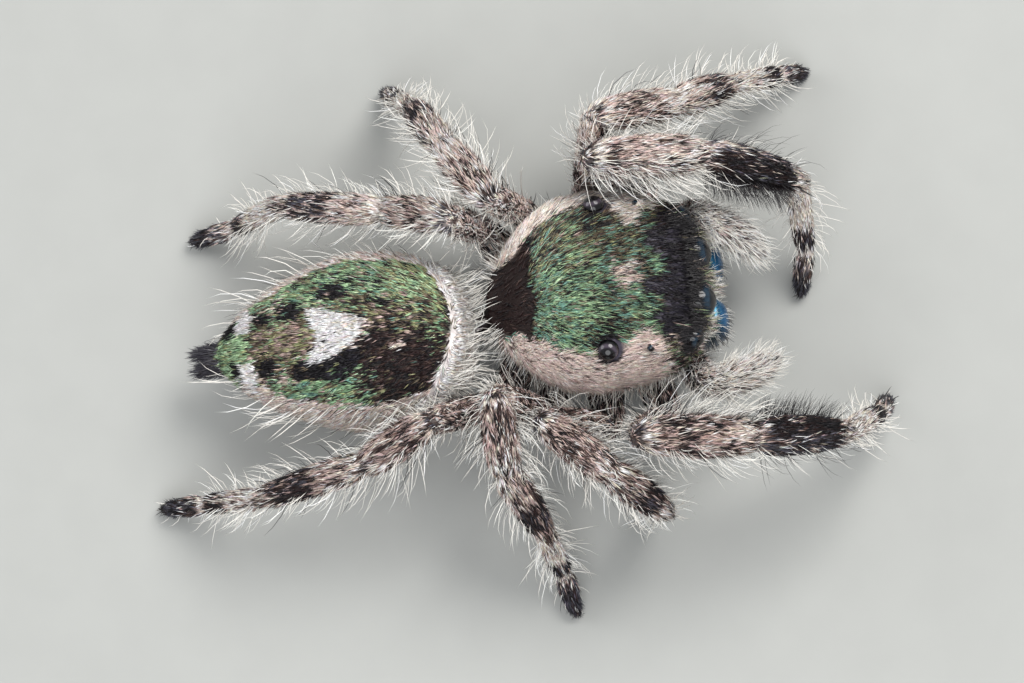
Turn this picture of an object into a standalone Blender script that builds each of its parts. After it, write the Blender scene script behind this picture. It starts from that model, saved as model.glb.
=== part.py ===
"""A jumping spider, Phidippus bidentatus, standing still on a floor at z = 0.

Life size. The head looks along -Y, the spider's own left is +X, and +Z is up.
Lengths below are in millimetres and angles in degrees, unless a name says otherwise.
"""
import bpy
import bmesh
import random
from math import asin, atan2, cos, pi, radians, sin
from mathutils import Matrix, Vector
from mathutils.bvhtree import BVHTree

MM = 0.001

# Driving dimensions of the whole animal
BODY_AT = Vector((0.40, -1.80, 0.0))
GAP = 0.15
EYE_GAP = 0.06
WELD = 0.000001

# Cephalothorax: rows of distance behind the rear eyes, half width and height of the back
HEAD_FRONT = -2.08
HEAD_REAR = 2.40
HEAD_ROWS = (
    (-2.10, 1.50, 2.62),
    (-1.40, 1.80, 2.96),
    (-0.60, 2.00, 3.18),
    (0.20, 2.10, 3.28),
    (0.90, 1.96, 3.16),
    (1.50, 1.58, 2.66),
    (2.05, 1.06, 1.98),
    (2.40, 0.74, 1.72),
)
HEAD_WIDEST_Z = 1.80
HEAD_FLOOR_Z = 0.86
HEAD_BOX = 2.45
HEAD_KEEL = 1.35
FACE_SHELF_Z = 1.84
FACE_SHELF_Y = -1.42

# Eyes: distance from the middle, distance behind the rear eyes, height, radius
EYES = {
    "eye_front_middle": (0.49, -1.90, 2.24, 0.375),
    "eye_front_side": (1.27, -1.72, 2.38, 0.23),
    "eye_small": (1.52, -0.86, 2.76, 0.085),
    "eye_rear": (1.52, 0.00, 2.86, 0.22),
}

# Chelicerae: the two stout blocks of the jaws under the front eyes
JAW_AT = Vector((0.60, -2.02, 1.06))
JAW_HALF = Vector((0.48, 0.50, 0.80))
JAW_TOP_Z = FACE_SHELF_Z - GAP
JAW_BACK_Y = FACE_SHELF_Y - GAP

# Abdomen, which hangs a little to the spider's right of the head's axis
ABDOMEN_X = -0.42
ABDOMEN_FRONT = 2.62
ABDOMEN_WIDEST = 4.85
ABDOMEN_REAR = 7.86
ABDOMEN_HALF_WIDTH = 1.85
ABDOMEN_HALF_HEIGHT = 1.25
ABDOMEN_Z = 1.55
ABDOMEN_FRONT_POWER = 2.3
ABDOMEN_REAR_POWER = 1.5
PEDICEL_RADIUS = 0.30
PEDICEL_Z = 1.38
WAIST_Y = 2.20
SPINNERET_Y = 7.62
SPINNERET_LENGTH = 0.80
SPINNERET_Z = 1.28
SPINNERET_RADII = (0.32, 0.30, 0.20)

# Legs: lengths of femur, patella, tibia, metatarsus and tarsus
LEG_LENGTHS = {
    1: (2.50, 2.20, 2.20, 1.75, 0.90),
    2: (2.10, 1.75, 1.40, 1.50, 0.75),
    3: (2.20, 1.50, 1.60, 1.30, 0.80),
    4: (2.40, 1.50, 2.30, 1.60, 0.95),
}
COXA_ROOTS = {
    1: (0.70, -0.60, 1.05),
    2: (0.75, 0.14, 1.02),
    3: (0.75, 0.86, 1.02),
    4: (0.60, 1.45, 1.02),
}
TROCHANTERS = {
    1: (2.50, -1.10, 1.05),
    2: (2.50, 0.10, 1.00),
    3: (2.10, 1.30, 1.00),
    4: (1.80, 2.15, 1.00),
}
# Radii at the start, middle and end of femur, patella, tibia, metatarsus and tarsus
LEG_RADII = {
    1: ((0.29, 0.35, 0.32), (0.34, 0.46, 0.38), (0.36, 0.42, 0.28), (0.25, 0.27, 0.23), (0.24, 0.25, 0.22)),
    2: ((0.28, 0.32, 0.29), (0.31, 0.39, 0.33), (0.31, 0.36, 0.26), (0.25, 0.26, 0.23), (0.24, 0.25, 0.22)),
    3: ((0.28, 0.32, 0.29), (0.31, 0.39, 0.32), (0.31, 0.35, 0.26), (0.25, 0.26, 0.23), (0.24, 0.25, 0.22)),
    4: ((0.28, 0.33, 0.29), (0.31, 0.38, 0.32), (0.31, 0.34, 0.26), (0.25, 0.26, 0.23), (0.24, 0.25, 0.22)),
}
COXA_RADII = (0.42, 0.38, 0.30)
TOE_HEIGHT = 0.16
# Pose of each leg: heading from straight ahead outwards, and climb, of its first four parts,
# then the heading of the tarsus, whose slope takes the foot to the floor
POSE = {
    ("left", 1): ((-174, 65), (-3, -3), (-11, -28), (-86, -55), -103),
    ("left", 2): ((71, 62), (11, -19), (22, -25), (24, -42), 19),
    ("left", 3): ((-161, 69), (123, -9), (115, -32), (117, -59), 120),
    ("left", 4): ((-157, 69), (156, -30), (166, -15), (176, -53), -176),
    ("right", 1): ((123, 62), (8, 4), (-7, -31), (-42, -50), -68),
    ("right", 2): ((167, 50), (47, 12), (35, -28), (-107, -74), -106),
    ("right", 3): ((170, 61), (87, -8), (58, -41), (61, -62), 76),
    ("right", 4): ((153, 44), (152, -5), (174, -22), (-167, -39), -171),
}

# Pedipalps: the joints of each, from its root beside the jaws to its tip, and their radii
PALP_PATHS = {
    "left": (
        (1.40, -1.82, 1.00), (1.58, -1.92, 1.58), (1.26, -2.36, 1.96),
        (0.98, -2.84, 1.74), (0.74, -3.16, 1.46),
    ),
    "right": (
        (1.40, -1.82, 1.00), (1.90, -1.80, 1.58), (2.10, -2.16, 1.92),
        (1.92, -2.80, 1.70), (1.66, -3.20, 1.42),
    ),
}
PALP_RADII = (0.22, 0.24, 0.26, 0.30, 0.20)

SIDES = {"left": 1, "right": -1}

# Locks of the long coat: how deep they root, the room they leave, and how they are made
LOCK_SUNK = 0.24
LOCK_CLEAR = 0.12
LOCK_FLATNESS = 0.60
LOCK_BEND = 34
LOCK_FITS = (1.0, 0.84, 0.68, 0.54)
FLOOR_CLEAR = 0.10
COAT_SEED = 12

# Rows of locks along a limb: first and last place along it, how many, where round it
# (0 and 180 the two sides, 90 on top), lean from upright, free length, width at the root
SHIN_ROWS = {
    1: (
        (0.14, 0.45, 3, 0, 36, 0.68, 0.62),
        (0.14, 0.45, 3, 180, 36, 0.68, 0.62),
        (0.58, 0.90, 3, 0, 38, 0.64, 0.60),
        (0.58, 0.90, 3, 180, 38, 0.64, 0.60),
        (0.22, 0.80, 3, 90, 32, 0.66, 0.58),
        (0.60, 0.88, 3, -90, 34, 0.54, 0.58),
    ),
    2: (
        (0.15, 0.90, 5, 4, 40, 0.64, 0.60),
        (0.15, 0.90, 5, 176, 40, 0.64, 0.60),
        (0.30, 0.76, 2, 90, 66, 0.48, 0.56),
    ),
    3: (
        (0.15, 0.90, 5, 4, 40, 0.62, 0.58),
        (0.15, 0.90, 5, 176, 40, 0.62, 0.58),
        (0.30, 0.76, 2, 90, 66, 0.48, 0.56),
    ),
    4: (
        (0.14, 0.91, 6, 4, 40, 0.66, 0.60),
        (0.14, 0.91, 6, 176, 40, 0.66, 0.60),
        (0.14, 0.76, 3, 90, 30, 0.62, 0.56),
    ),
}
FEMUR_ROWS = {
    1: (
        (0.35, 0.85, 2, 0, 36, 0.46, 0.54),
        (0.35, 0.85, 2, 180, 36, 0.46, 0.54),
    ),
    2: (),
    3: (),
    4: (),
}
FOOT_ROWS = (
    (0.20, 0.64, 3, 0, 42, 0.54, 0.54),
    (0.20, 0.64, 3, 180, 42, 0.54, 0.54),
)
PALP_ROWS = (
    (0.38, 0.92, 3, 0, 46, 0.42, 0.54),
    (0.38, 0.92, 3, 180, 46, 0.42, 0.54),
    (0.50, 0.86, 2, 90, 66, 0.36, 0.52),
)
SPINNERET_ROWS = (
    (0.30, 0.80, 2, 0, 60, 0.24, 0.36),
    (0.30, 0.80, 2, 180, 60, 0.24, 0.36),
)

# Rings of locks on the body: distance behind the rear eyes, first and last angle from the
# spider's left over the top, how many, lie along Y, lean, free length, width
ABDOMEN_RINGS = (
    (3.05, -20, 200, 11, -1, 34, 0.70, 0.66),
    (3.75, -26, -4, 2, 1, 42, 0.46, 0.54),
    (3.75, 184, 206, 2, 1, 42, 0.46, 0.54),
    (4.75, -24, -2, 2, 1, 46, 0.46, 0.54),
    (4.75, 182, 204, 2, 1, 46, 0.46, 0.54),
    (5.75, -22, 6, 2, 1, 44, 0.52, 0.54),
    (5.75, 174, 202, 2, 1, 44, 0.52, 0.54),
    (6.60, -52, 14, 3, 1, 42, 0.62, 0.58),
    (6.60, 166, 232, 3, 1, 42, 0.62, 0.58),
    (7.20, -60, 36, 3, 1, 50, 0.54, 0.50),
    (7.20, 144, 240, 3, 1, 50, 0.54, 0.50),
)
HEAD_RINGS = (
    (-1.35, -12, -12, 1, -1, 40, 0.34, 0.50),
    (-1.35, 192, 192, 1, -1, 40, 0.34, 0.50),
    (-0.55, -12, -12, 1, -1, 48, 0.34, 0.50),
    (-0.55, 192, 192, 1, -1, 48, 0.34, 0.50),
    (0.35, -12, -12, 1, 1, 52, 0.32, 0.50),
    (0.35, 192, 192, 1, 1, 52, 0.32, 0.50),
    (1.15, -10, -10, 1, 1, 52, 0.32, 0.50),
    (1.15, 190, 190, 1, 1, 52, 0.32, 0.50),
)

# Finishes: base colour, roughness, metallic
FINISHES = {
    "carapace": ((0.10, 0.20, 0.14), 0.45, 0.2),
    "abdomen": ((0.16, 0.22, 0.13), 0.50, 0.2),
    "jaw": ((0.02, 0.16, 0.36), 0.25, 0.6),
    "lens": ((0.01, 0.01, 0.015), 0.05, 0.0),
    "femur": ((0.10, 0.07, 0.06), 0.60, 0.0),
    "shin": ((0.42, 0.33, 0.29), 0.65, 0.0),
    "foot": ((0.30, 0.27, 0.25), 0.65, 0.0),
    "palp": ((0.66, 0.62, 0.58), 0.70, 0.0),
    "spinneret": ((0.03, 0.03, 0.03), 0.60, 0.0),
}


def clear_scene():
    """Remove whatever the scene holds."""
    for thing in list(bpy.data.objects):
        bpy.data.objects.remove(thing, do_unlink=True)


def new_collection(name):
    """A collection linked to the scene."""
    collection = bpy.data.collections.new(name)
    bpy.context.scene.collection.children.link(collection)
    return collection


def finish(obj, kind):
    """Give a sub-part its own material."""
    colour, roughness, metallic = FINISHES[kind]
    material = bpy.data.materials.new(obj.name + "_finish")
    material.use_nodes = True
    shader = material.node_tree.nodes["Principled BSDF"]
    shader.inputs["Base Color"].default_value = (*colour, 1.0)
    shader.inputs["Roughness"].default_value = roughness
    shader.inputs["Metallic"].default_value = metallic
    obj.data.materials.clear()
    obj.data.materials.append(material)


def place(obj, kind):
    """Put a finished sub-part on the spider's stand point, smooth and with its finish."""
    obj.data.shade_smooth()
    obj.data.set_sharp_from_angle(angle=radians(50))
    obj.parent = stand_point
    finish(obj, kind)


def object_from(bm, name):
    """Turn a bmesh measured in millimetres into an object."""
    bmesh.ops.scale(bm, vec=(MM, MM, MM), verts=bm.verts)
    bmesh.ops.recalc_face_normals(bm, faces=bm.faces)
    mesh = bpy.data.meshes.new(name)
    bm.to_mesh(mesh)
    bm.free()
    obj = bpy.data.objects.new(name, mesh)
    spider.objects.link(obj)
    return obj


def shaped_ball(name, around, along, shape):
    """A ball whose poles lie along Y, with each point moved by shape(x, y, z)."""
    bm = bmesh.new()
    bmesh.ops.create_uvsphere(bm, u_segments=around, v_segments=along, radius=1.0)
    bmesh.ops.rotate(bm, cent=(0, 0, 0), matrix=Matrix.Rotation(pi / 2, 3, "X"), verts=bm.verts)
    for vert in bm.verts:
        vert.co = shape(*vert.co)
    return object_from(bm, name)


def ease(rows, at):
    """Read a table of rows smoothly between its stations (Catmull-Rom)."""
    last = len(rows) - 1
    here = max(i for i in range(last) if rows[i][0] <= max(at, rows[0][0]))
    low, high = rows[here], rows[here + 1]
    before, after = rows[max(here - 1, 0)], rows[min(here + 2, last)]
    span = high[0] - low[0]
    t = min(max((at - low[0]) / span, 0.0), 1.0)
    values = []
    for k in range(1, len(low)):
        start = (high[k] - before[k]) / (high[0] - before[0]) * span
        end = (after[k] - low[k]) / (after[0] - low[0]) * span
        values.append(
            low[k] * (2 * t**3 - 3 * t**2 + 1) + start * (t**3 - 2 * t**2 + t)
            + high[k] * (3 * t**2 - 2 * t**3) + end * (t**3 - t**2)
        )
    return values


def power(value, exponent):
    """A power that keeps the sign."""
    return abs(value) ** exponent * (1 if value >= 0 else -1)


def smooth_path(points, steps):
    """Points of position and radius read from a smooth curve through the given joints."""
    rows = [(float(i), *point) for i, point in enumerate(points)]
    count = (len(points) - 1) * steps
    return [ease(rows, i / steps) for i in range(count + 1)]


def round_ends(path):
    """Add a dome of falling radii past both ends of a path of x, y, z and radius."""
    def dome(end, inner):
        end_at = Vector(end[:3])
        out = (end_at - Vector(inner[:3])).normalized()
        rings = []
        for angle in (radians(38), radians(72)):
            at = end_at + out * end[3] * sin(angle)
            rings.append([*at, end[3] * cos(angle)])
        return rings
    return dome(path[0], path[1])[::-1] + path + dome(path[-1], path[-2])


def tube(name, path, fineness=2):
    """A closed round tube along a path of x, y, z and radius."""
    curve = bpy.data.curves.new(name, "CURVE")
    curve.dimensions = "3D"
    curve.bevel_depth = MM
    curve.bevel_resolution = fineness
    curve.use_fill_caps = True
    spline = curve.splines.new("POLY")
    spline.points.add(len(path) - 1)
    for point, (x, y, z, radius) in zip(spline.points, path):
        point.co = (x * MM, y * MM, z * MM, 1.0)
        point.radius = radius
    holder = bpy.data.objects.new(name, curve)
    spider.objects.link(holder)
    evaluated = holder.evaluated_get(bpy.context.evaluated_depsgraph_get())
    mesh = bpy.data.meshes.new_from_object(evaluated)
    bpy.data.objects.remove(holder, do_unlink=True)
    bpy.data.curves.remove(curve)
    bm = bmesh.new()
    bm.from_mesh(mesh)
    bmesh.ops.remove_doubles(bm, verts=bm.verts, dist=WELD)
    bmesh.ops.recalc_face_normals(bm, faces=bm.faces)
    bm.to_mesh(mesh)
    bm.free()
    obj = bpy.data.objects.new(name, mesh)
    spider.objects.link(obj)
    return obj


def slice_flat(obj, point, normal):
    """Cut away what lies past a plane and close the cut with a flat face."""
    bm = bmesh.new()
    bm.from_mesh(obj.data)
    everything = bm.verts[:] + bm.edges[:] + bm.faces[:]
    bmesh.ops.bisect_plane(
        bm, geom=everything, dist=WELD / 10, plane_co=point * MM, plane_no=normal, clear_outer=True
    )
    rim = [edge for edge in bm.edges if edge.is_boundary]
    bmesh.ops.edgeloop_fill(bm, edges=rim)
    bmesh.ops.remove_doubles(bm, verts=bm.verts, dist=WELD)
    bmesh.ops.recalc_face_normals(bm, faces=bm.faces)
    bm.to_mesh(obj.data)
    bm.free()


def keep_largest(bm):
    """Keep only the closed surface that holds the most volume."""
    left = set(bm.verts)
    shells = []
    while left:
        seed = left.pop()
        shell = {seed}
        stack = [seed]
        while stack:
            for edge in stack.pop().link_edges:
                for vert in edge.verts:
                    if vert not in shell:
                        shell.add(vert)
                        stack.append(vert)
        left -= shell
        shells.append(shell)
    shells.sort(key=len)
    spare = [vert for shell in shells[:-1] for vert in shell]
    bmesh.ops.delete(bm, geom=spare, context="VERTS")


def combine(obj, others, operation):
    """Join the others to an object, or cut them out of it, and remove them."""
    group = bpy.data.collections.new(obj.name + "_tools")
    bpy.context.scene.collection.children.link(group)
    for other in others:
        spider.objects.unlink(other)
        group.objects.link(other)
    boolean = obj.modifiers.new(operation, "BOOLEAN")
    boolean.operation = operation
    boolean.operand_type = "COLLECTION"
    boolean.collection = group
    boolean.solver = "EXACT"
    evaluated = obj.evaluated_get(bpy.context.evaluated_depsgraph_get())
    mesh = bpy.data.meshes.new_from_object(evaluated)
    obj.modifiers.clear()
    bm = bmesh.new()
    bm.from_mesh(mesh)
    bmesh.ops.remove_doubles(bm, verts=bm.verts, dist=WELD)
    keep_largest(bm)
    bm.to_mesh(mesh)
    bm.free()
    obj.data = mesh
    for other in list(group.objects):
        bpy.data.objects.remove(other, do_unlink=True)
    bpy.data.collections.remove(group)


def head_shape(x, y, z):
    """Back, sides and underside of the cephalothorax from a point of the unit ball."""
    at = HEAD_FRONT + (HEAD_REAR - HEAD_FRONT) * (0.5 + asin(max(-1.0, min(1.0, y))) / pi)
    half_width, top = ease(HEAD_ROWS, at)
    along = (at - HEAD_FRONT) / (HEAD_REAR - HEAD_FRONT)
    close = (1 - abs(2 * along - 1) ** 7) ** (1 / 2.6)
    angle = atan2(z, x)
    if z >= 0:
        across = power(cos(angle), 2 / HEAD_BOX)
        up = (top - HEAD_WIDEST_Z) * power(sin(angle), 2 / HEAD_BOX)
    else:
        across = power(cos(angle), 2 / HEAD_KEEL)
        up = (HEAD_WIDEST_Z - HEAD_FLOOR_Z) * power(sin(angle), 2 / HEAD_KEEL)
    return Vector((half_width * across * close, at, HEAD_WIDEST_Z + up * close))


def abdomen_shape(x, y, z):
    """Egg of the abdomen, blunt at the waist and drawn out to the spinnerets."""
    turn = asin(max(-1.0, min(1.0, y)))
    if y < 0:
        reach, exponent = ABDOMEN_WIDEST - ABDOMEN_FRONT, ABDOMEN_FRONT_POWER
    else:
        reach, exponent = ABDOMEN_REAR - ABDOMEN_WIDEST, ABDOMEN_REAR_POWER
    along = power(sin(turn), 2 / exponent)
    girth = power(cos(turn), 2 / exponent)
    angle = atan2(z, x)
    return Vector((
        ABDOMEN_X + ABDOMEN_HALF_WIDTH * girth * cos(angle),
        ABDOMEN_WIDEST + reach * along,
        ABDOMEN_Z + ABDOMEN_HALF_HEIGHT * girth * sin(angle),
    ))


def heading(side, turn, climb):
    """Direction from a turn away from straight ahead, outwards, and a climb."""
    return Vector((
        SIDES[side] * sin(radians(turn)) * cos(radians(climb)),
        -cos(radians(turn)) * cos(radians(climb)),
        sin(radians(climb)),
    ))


def mirrored(side, place_on_left):
    """A place given for the left side, on either side."""
    return Vector((SIDES[side] * place_on_left[0], place_on_left[1], place_on_left[2]))


def leg_joints(side, pair):
    """Coxa root, trochanter, knee, and the ends of patella, tibia, metatarsus and tarsus."""
    lengths = LEG_LENGTHS[pair]
    pose = POSE[side, pair]
    joints = [mirrored(side, COXA_ROOTS[pair]), mirrored(side, TROCHANTERS[pair])]
    for length, (turn, climb) in zip(lengths, pose[:4]):
        joints.append(joints[-1] + heading(side, turn, climb) * length)
    drop = (TOE_HEIGHT - joints[-1].z) / lengths[4]
    slope = asin(max(-0.999, drop)) * 180 / pi
    joints.append(joints[-1] + heading(side, pose[4], slope) * lengths[4])
    return joints


def mitre(before, joint, after):
    """Normal of the plane that halves the bend at a joint, pointing along the limb."""
    into = (joint - before).normalized()
    out = (after - joint).normalized()
    return (into + out).normalized()


def swelling(start, end, radii, steps=3):
    """A straight stretch of limb whose radius swells from start to middle to end."""
    first, middle, last = radii
    rows = []
    for i in range(steps + 1):
        t = i / steps
        at = start.lerp(end, t)
        radius = first * (1 - t) * (1 - 2 * t) + middle * 4 * t * (1 - t) + last * t * (2 * t - 1)
        rows.append([*at, radius])
    return rows


def build_coxa(side, pair):
    """The leg's root under the edge of the carapace, cut at the trochanter."""
    joints = leg_joints(side, pair)
    root, trochanter, knee = joints[:3]
    obj = tube("coxa_" + side + str(pair), round_ends(swelling(root, trochanter, COXA_RADII, 2)), 1)
    normal = mitre(root, trochanter, knee)
    slice_flat(obj, trochanter - normal * GAP / 2, normal)
    return obj


def build_leg(side, pair):
    """Femur, shin of patella and tibia, and foot of metatarsus and tarsus."""
    joints = leg_joints(side, pair)
    root, trochanter, knee, patella_end, tibia_end, metatarsus_end, toe = joints
    radii = LEG_RADII[pair]
    name = side + "_leg_" + str(pair)
    hip_cut = mitre(root, trochanter, knee)
    knee_cut = mitre(trochanter, knee, patella_end)
    ankle_cut = mitre(patella_end, tibia_end, metatarsus_end)

    femur = tube(name + "_femur", round_ends(swelling(trochanter, knee, radii[0])))
    slice_flat(femur, trochanter + hip_cut * GAP / 2, -hip_cut)
    slice_flat(femur, knee - knee_cut * GAP / 2, knee_cut)
    kinds[femur.name] = "femur"
    limbs[femur.name] = (swelling(trochanter, knee, radii[0]), FEMUR_ROWS[pair])

    patella = swelling(knee, patella_end, radii[1])
    tibia = swelling(patella_end, tibia_end, radii[2])
    shin = tube(name + "_shin", round_ends(patella[:-1] + tibia))
    slice_flat(shin, knee + knee_cut * GAP / 2, -knee_cut)
    slice_flat(shin, tibia_end - ankle_cut * GAP / 2, ankle_cut)
    kinds[shin.name] = "shin"
    limbs[shin.name] = (patella[:-1] + tibia, SHIN_ROWS[pair])

    metatarsus = swelling(tibia_end, metatarsus_end, radii[3], 2)
    tarsus = swelling(metatarsus_end, toe, radii[4], 2)
    foot = tube(name + "_foot", round_ends(metatarsus[:-1] + tarsus))
    slice_flat(foot, tibia_end + ankle_cut * GAP / 2, -ankle_cut)
    slice_flat(foot, Vector((0, 0, 0)), Vector((0, 0, -1)))
    kinds[foot.name] = "foot"
    limbs[foot.name] = (metatarsus[:-1] + tarsus, FOOT_ROWS)


def eye_ball(name, side, kind, extra):
    """One ball-shaped eye lens, or with extra radius the socket that it sits in."""
    x, y, z, radius = EYES[kind]
    around = 16 if radius > 0.3 else 10
    def shape(ball_x, ball_y, ball_z):
        return mirrored(side, (x, y, z)) + Vector((ball_x, ball_y, ball_z)) * (radius + extra)
    return shaped_ball(name, around, around * 5 // 8, shape)


def build_cephalothorax():
    """Carapace with the coxae joined under it, the shelf over the jaws and the eye sockets."""
    obj = shaped_ball("cephalothorax", 26, 21, head_shape)
    slice_flat(obj, Vector((0, WAIST_Y, 0)), Vector((0, 1, 0)))
    combine(obj, [build_coxa(side, pair) for side in SIDES for pair in LEG_LENGTHS], "UNION")
    cutters = [eye_ball("socket", side, kind, EYE_GAP) for side in SIDES for kind in EYES]
    shelf = bmesh.new()
    bmesh.ops.create_cube(shelf, size=1.0)
    bmesh.ops.scale(shelf, vec=(5.0, 2.0, 2.0), verts=shelf.verts)
    bmesh.ops.translate(shelf, vec=(0.0, FACE_SHELF_Y - 1.0, FACE_SHELF_Z - 1.0), verts=shelf.verts)
    cutters.append(object_from(shelf, "shelf"))
    combine(obj, cutters, "DIFFERENCE")
    kinds[obj.name] = "carapace"


def build_eyes():
    """Eight lenses, each a piece of its own."""
    for side in SIDES:
        for kind in EYES:
            lens = eye_ball(kind + "_" + side, side, kind, 0.0)
            kinds[lens.name] = "lens"


def build_jaw(side):
    """One chelicera, flat where it meets the face above and behind it."""
    centre = mirrored(side, JAW_AT)
    def shape(x, y, z):
        taper = 1.0 - 0.18 * max(0.0, -z)
        return centre + Vector((
            JAW_HALF.x * power(x, 0.8) * taper,
            JAW_HALF.y * power(y, 0.8) * taper,
            JAW_HALF.z * power(z, 0.9),
        ))
    obj = shaped_ball("chelicera_" + side, 14, 10, shape)
    slice_flat(obj, Vector((0, 0, JAW_TOP_Z)), Vector((0, 0, 1)))
    slice_flat(obj, Vector((0, JAW_BACK_Y, 0)), Vector((0, 1, 0)))
    kinds[obj.name] = "jaw"


def build_palp(side):
    """One pedipalp, bent up beside the jaws and down again in front of them."""
    joints = [(*mirrored(side, point), radius) for point, radius in zip(PALP_PATHS[side], PALP_RADII)]
    path = smooth_path(joints, 3)
    obj = tube("palp_" + side, round_ends(path))
    kinds[obj.name] = "palp"
    limbs[obj.name] = (path, PALP_ROWS)


def build_abdomen():
    """The egg of the abdomen with the pedicel that reaches for the waist."""
    obj = shaped_ball("abdomen", 22, 18, abdomen_shape)
    slice_flat(obj, Vector((0, SPINNERET_Y, 0)), Vector((0, 1, 0)))
    start = Vector((ABDOMEN_X / 3, WAIST_Y - 0.3, PEDICEL_Z))
    end = Vector((ABDOMEN_X, ABDOMEN_FRONT + 0.6, PEDICEL_Z))
    radii = (PEDICEL_RADIUS, PEDICEL_RADIUS, PEDICEL_RADIUS + 0.1)
    pedicel = tube("pedicel", swelling(start, end, radii))
    slice_flat(pedicel, Vector((0, WAIST_Y + GAP, 0)), Vector((0, -1, 0)))
    combine(obj, [pedicel], "UNION")
    kinds[obj.name] = "abdomen"


def build_spinnerets():
    """The short cone of spinnerets behind the abdomen."""
    start = Vector((ABDOMEN_X, SPINNERET_Y - 0.1, ABDOMEN_Z - 0.1))
    end = Vector((ABDOMEN_X, SPINNERET_Y + GAP + SPINNERET_LENGTH - 0.2, SPINNERET_Z))
    path = swelling(start, end, SPINNERET_RADII)
    obj = tube("spinnerets", round_ends(path))
    slice_flat(obj, Vector((0, SPINNERET_Y + GAP, 0)), Vector((0, -1, 0)))
    kinds[obj.name] = "spinneret"
    limbs[obj.name] = (path, SPINNERET_ROWS)


def surface_tree(obj):
    """Search tree of an object's surface, in millimetres."""
    points = [vert.co / MM for vert in obj.data.vertices]
    return BVHTree.FromPolygons(points, [tuple(face.vertices) for face in obj.data.polygons])


def lock_stations(root, out, lie, shape):
    """Places, directions and half widths of a lock that leaves the skin and bends to its lie."""
    lean, length, width = shape
    along = [-LOCK_SUNK, 0.25 * length, 0.62 * length, length]
    widths = [0.50 * width, 0.47 * width, 0.29 * width, 0.0]
    at = Vector(root)
    stations = []
    for i, (place_on, half_width) in enumerate(zip(along, widths)):
        bend = radians(lean + LOCK_BEND * (i / 3 - 0.4))
        direction = out * cos(bend) + lie * sin(bend)
        at = at + direction * (place_on - (along[i - 1] if i else 0.0))
        stations.append((at, direction, half_width))
    return stations


def lock_room(stations):
    """Places down the length of a lock, each with the half width to keep clear there."""
    free = [(at, half_width) for at, direction, half_width in stations]
    room = []
    for (low, low_width), (high, high_width) in zip(free, free[1:]):
        for t in (0.0, 0.5):
            room.append((low.lerp(high, t), low_width + (high_width - low_width) * t))
    return room + [free[-1]]


def clear_of_others(name, room):
    """Whether a lock keeps its distance from the floor, the other nodes and their locks."""
    for at, half_width in room:
        if at.z < half_width + FLOOR_CLEAR:
            return False
        for other, tree in trees.items():
            if other != name and tree.find_nearest(at, half_width + LOCK_CLEAR)[0] is not None:
                return False
        for other, there, other_width in taken:
            if other != name and (at - there).length < half_width + other_width + LOCK_CLEAR:
                return False
    return True


def lock_solid(stations, flat_side):
    """A closed lock of four sides, flattened across flat_side and drawn out to a point."""
    bm = bmesh.new()
    rings = []
    for at, direction, half_width in stations[:-1]:
        wide = flat_side.cross(direction).normalized() * half_width
        thin = direction.cross(wide).normalized() * half_width * LOCK_FLATNESS
        rings.append([bm.verts.new(at + step) for step in (wide, thin, -wide, -thin)])
    tip = bm.verts.new(stations[-1][0])
    for low, high in zip(rings, rings[1:]):
        for i in range(4):
            bm.faces.new((low[i], low[i - 1], high[i - 1], high[i]))
    for i in range(4):
        bm.faces.new((rings[-1][i], rings[-1][i - 1], tip))
    bm.faces.new(rings[0])
    bmesh.ops.triangulate(bm, faces=bm.faces)
    return object_from(bm, "lock")


def grow_lock(name, inside, out, lie, shape):
    """One lock from the skin met on the way out from a place inside, if there is room."""
    lean, length, width = shape
    root, normal = trees[name].ray_cast(inside, out)[:2]
    if root is None:
        return
    if normal.dot(out) < 0:
        normal = -normal
    normal = (normal + out).normalized()
    lie = (lie - normal * lie.dot(normal)).normalized()
    lie = (lie + normal.cross(lie) * chance.uniform(-0.16, 0.16)).normalized()
    flat_side = Matrix.Rotation(radians(chance.uniform(-24, 24)), 3, normal) @ normal.cross(lie)
    lean = lean + chance.uniform(-5, 5)
    length = length * chance.uniform(0.86, 1.14)
    for fit in LOCK_FITS:
        shape = (lean + (1 - fit) * 14, length * fit, width * (0.4 + 0.6 * fit))
        stations = lock_stations(root, normal, lie, shape)
        room = lock_room(stations)
        if clear_of_others(name, room):
            grown.setdefault(name, []).append(lock_solid(stations, flat_side))
            taken.extend((name, at, half_width) for at, half_width in room)
            return


def grow_along(name, path, rows):
    """Rows of locks down the sides of a limb, laid towards its tip."""
    for first, last, count, around, lean, length, width in rows:
        for i in range(count):
            share = first + (last - first) * (i + chance.uniform(-0.2, 0.2)) / max(count - 1, 1)
            step = min(max(share, 0.0), 0.999) * (len(path) - 1)
            low, high = path[int(step)], path[int(step) + 1]
            at = Vector(low[:3]).lerp(Vector(high[:3]), step % 1.0)
            axis = (Vector(high[:3]) - Vector(low[:3])).normalized()
            side = axis.cross(Vector((0, 0, 1))).normalized()
            turn = radians(around + chance.uniform(-9, 9))
            out = side * cos(turn) + side.cross(axis) * sin(turn)
            grow_lock(name, at, out, axis, (lean, length, width))


def grow_round(name, middle_x, middle_z, rings):
    """Rings of locks round the body, laid forwards or backwards."""
    for at, first, last, count, way, lean, length, width in rings:
        for i in range(count):
            share = (i + chance.uniform(-0.16, 0.16)) / max(count - 1, 1)
            turn = radians(first + (last - first) * share)
            inside = Vector((middle_x, at + chance.uniform(-0.07, 0.07), middle_z))
            out = Vector((cos(turn), 0, sin(turn)))
            grow_lock(name, inside, out, Vector((0, way, 0)), (lean, length, width))


clear_scene()
spider = new_collection("jumping_spider")
kinds = {}
limbs = {}
grown = {}
taken = []
chance = random.Random(COAT_SEED)
stand_point = bpy.data.objects.new("stand_point", None)
stand_point.location = BODY_AT * MM
spider.objects.link(stand_point)

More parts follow.
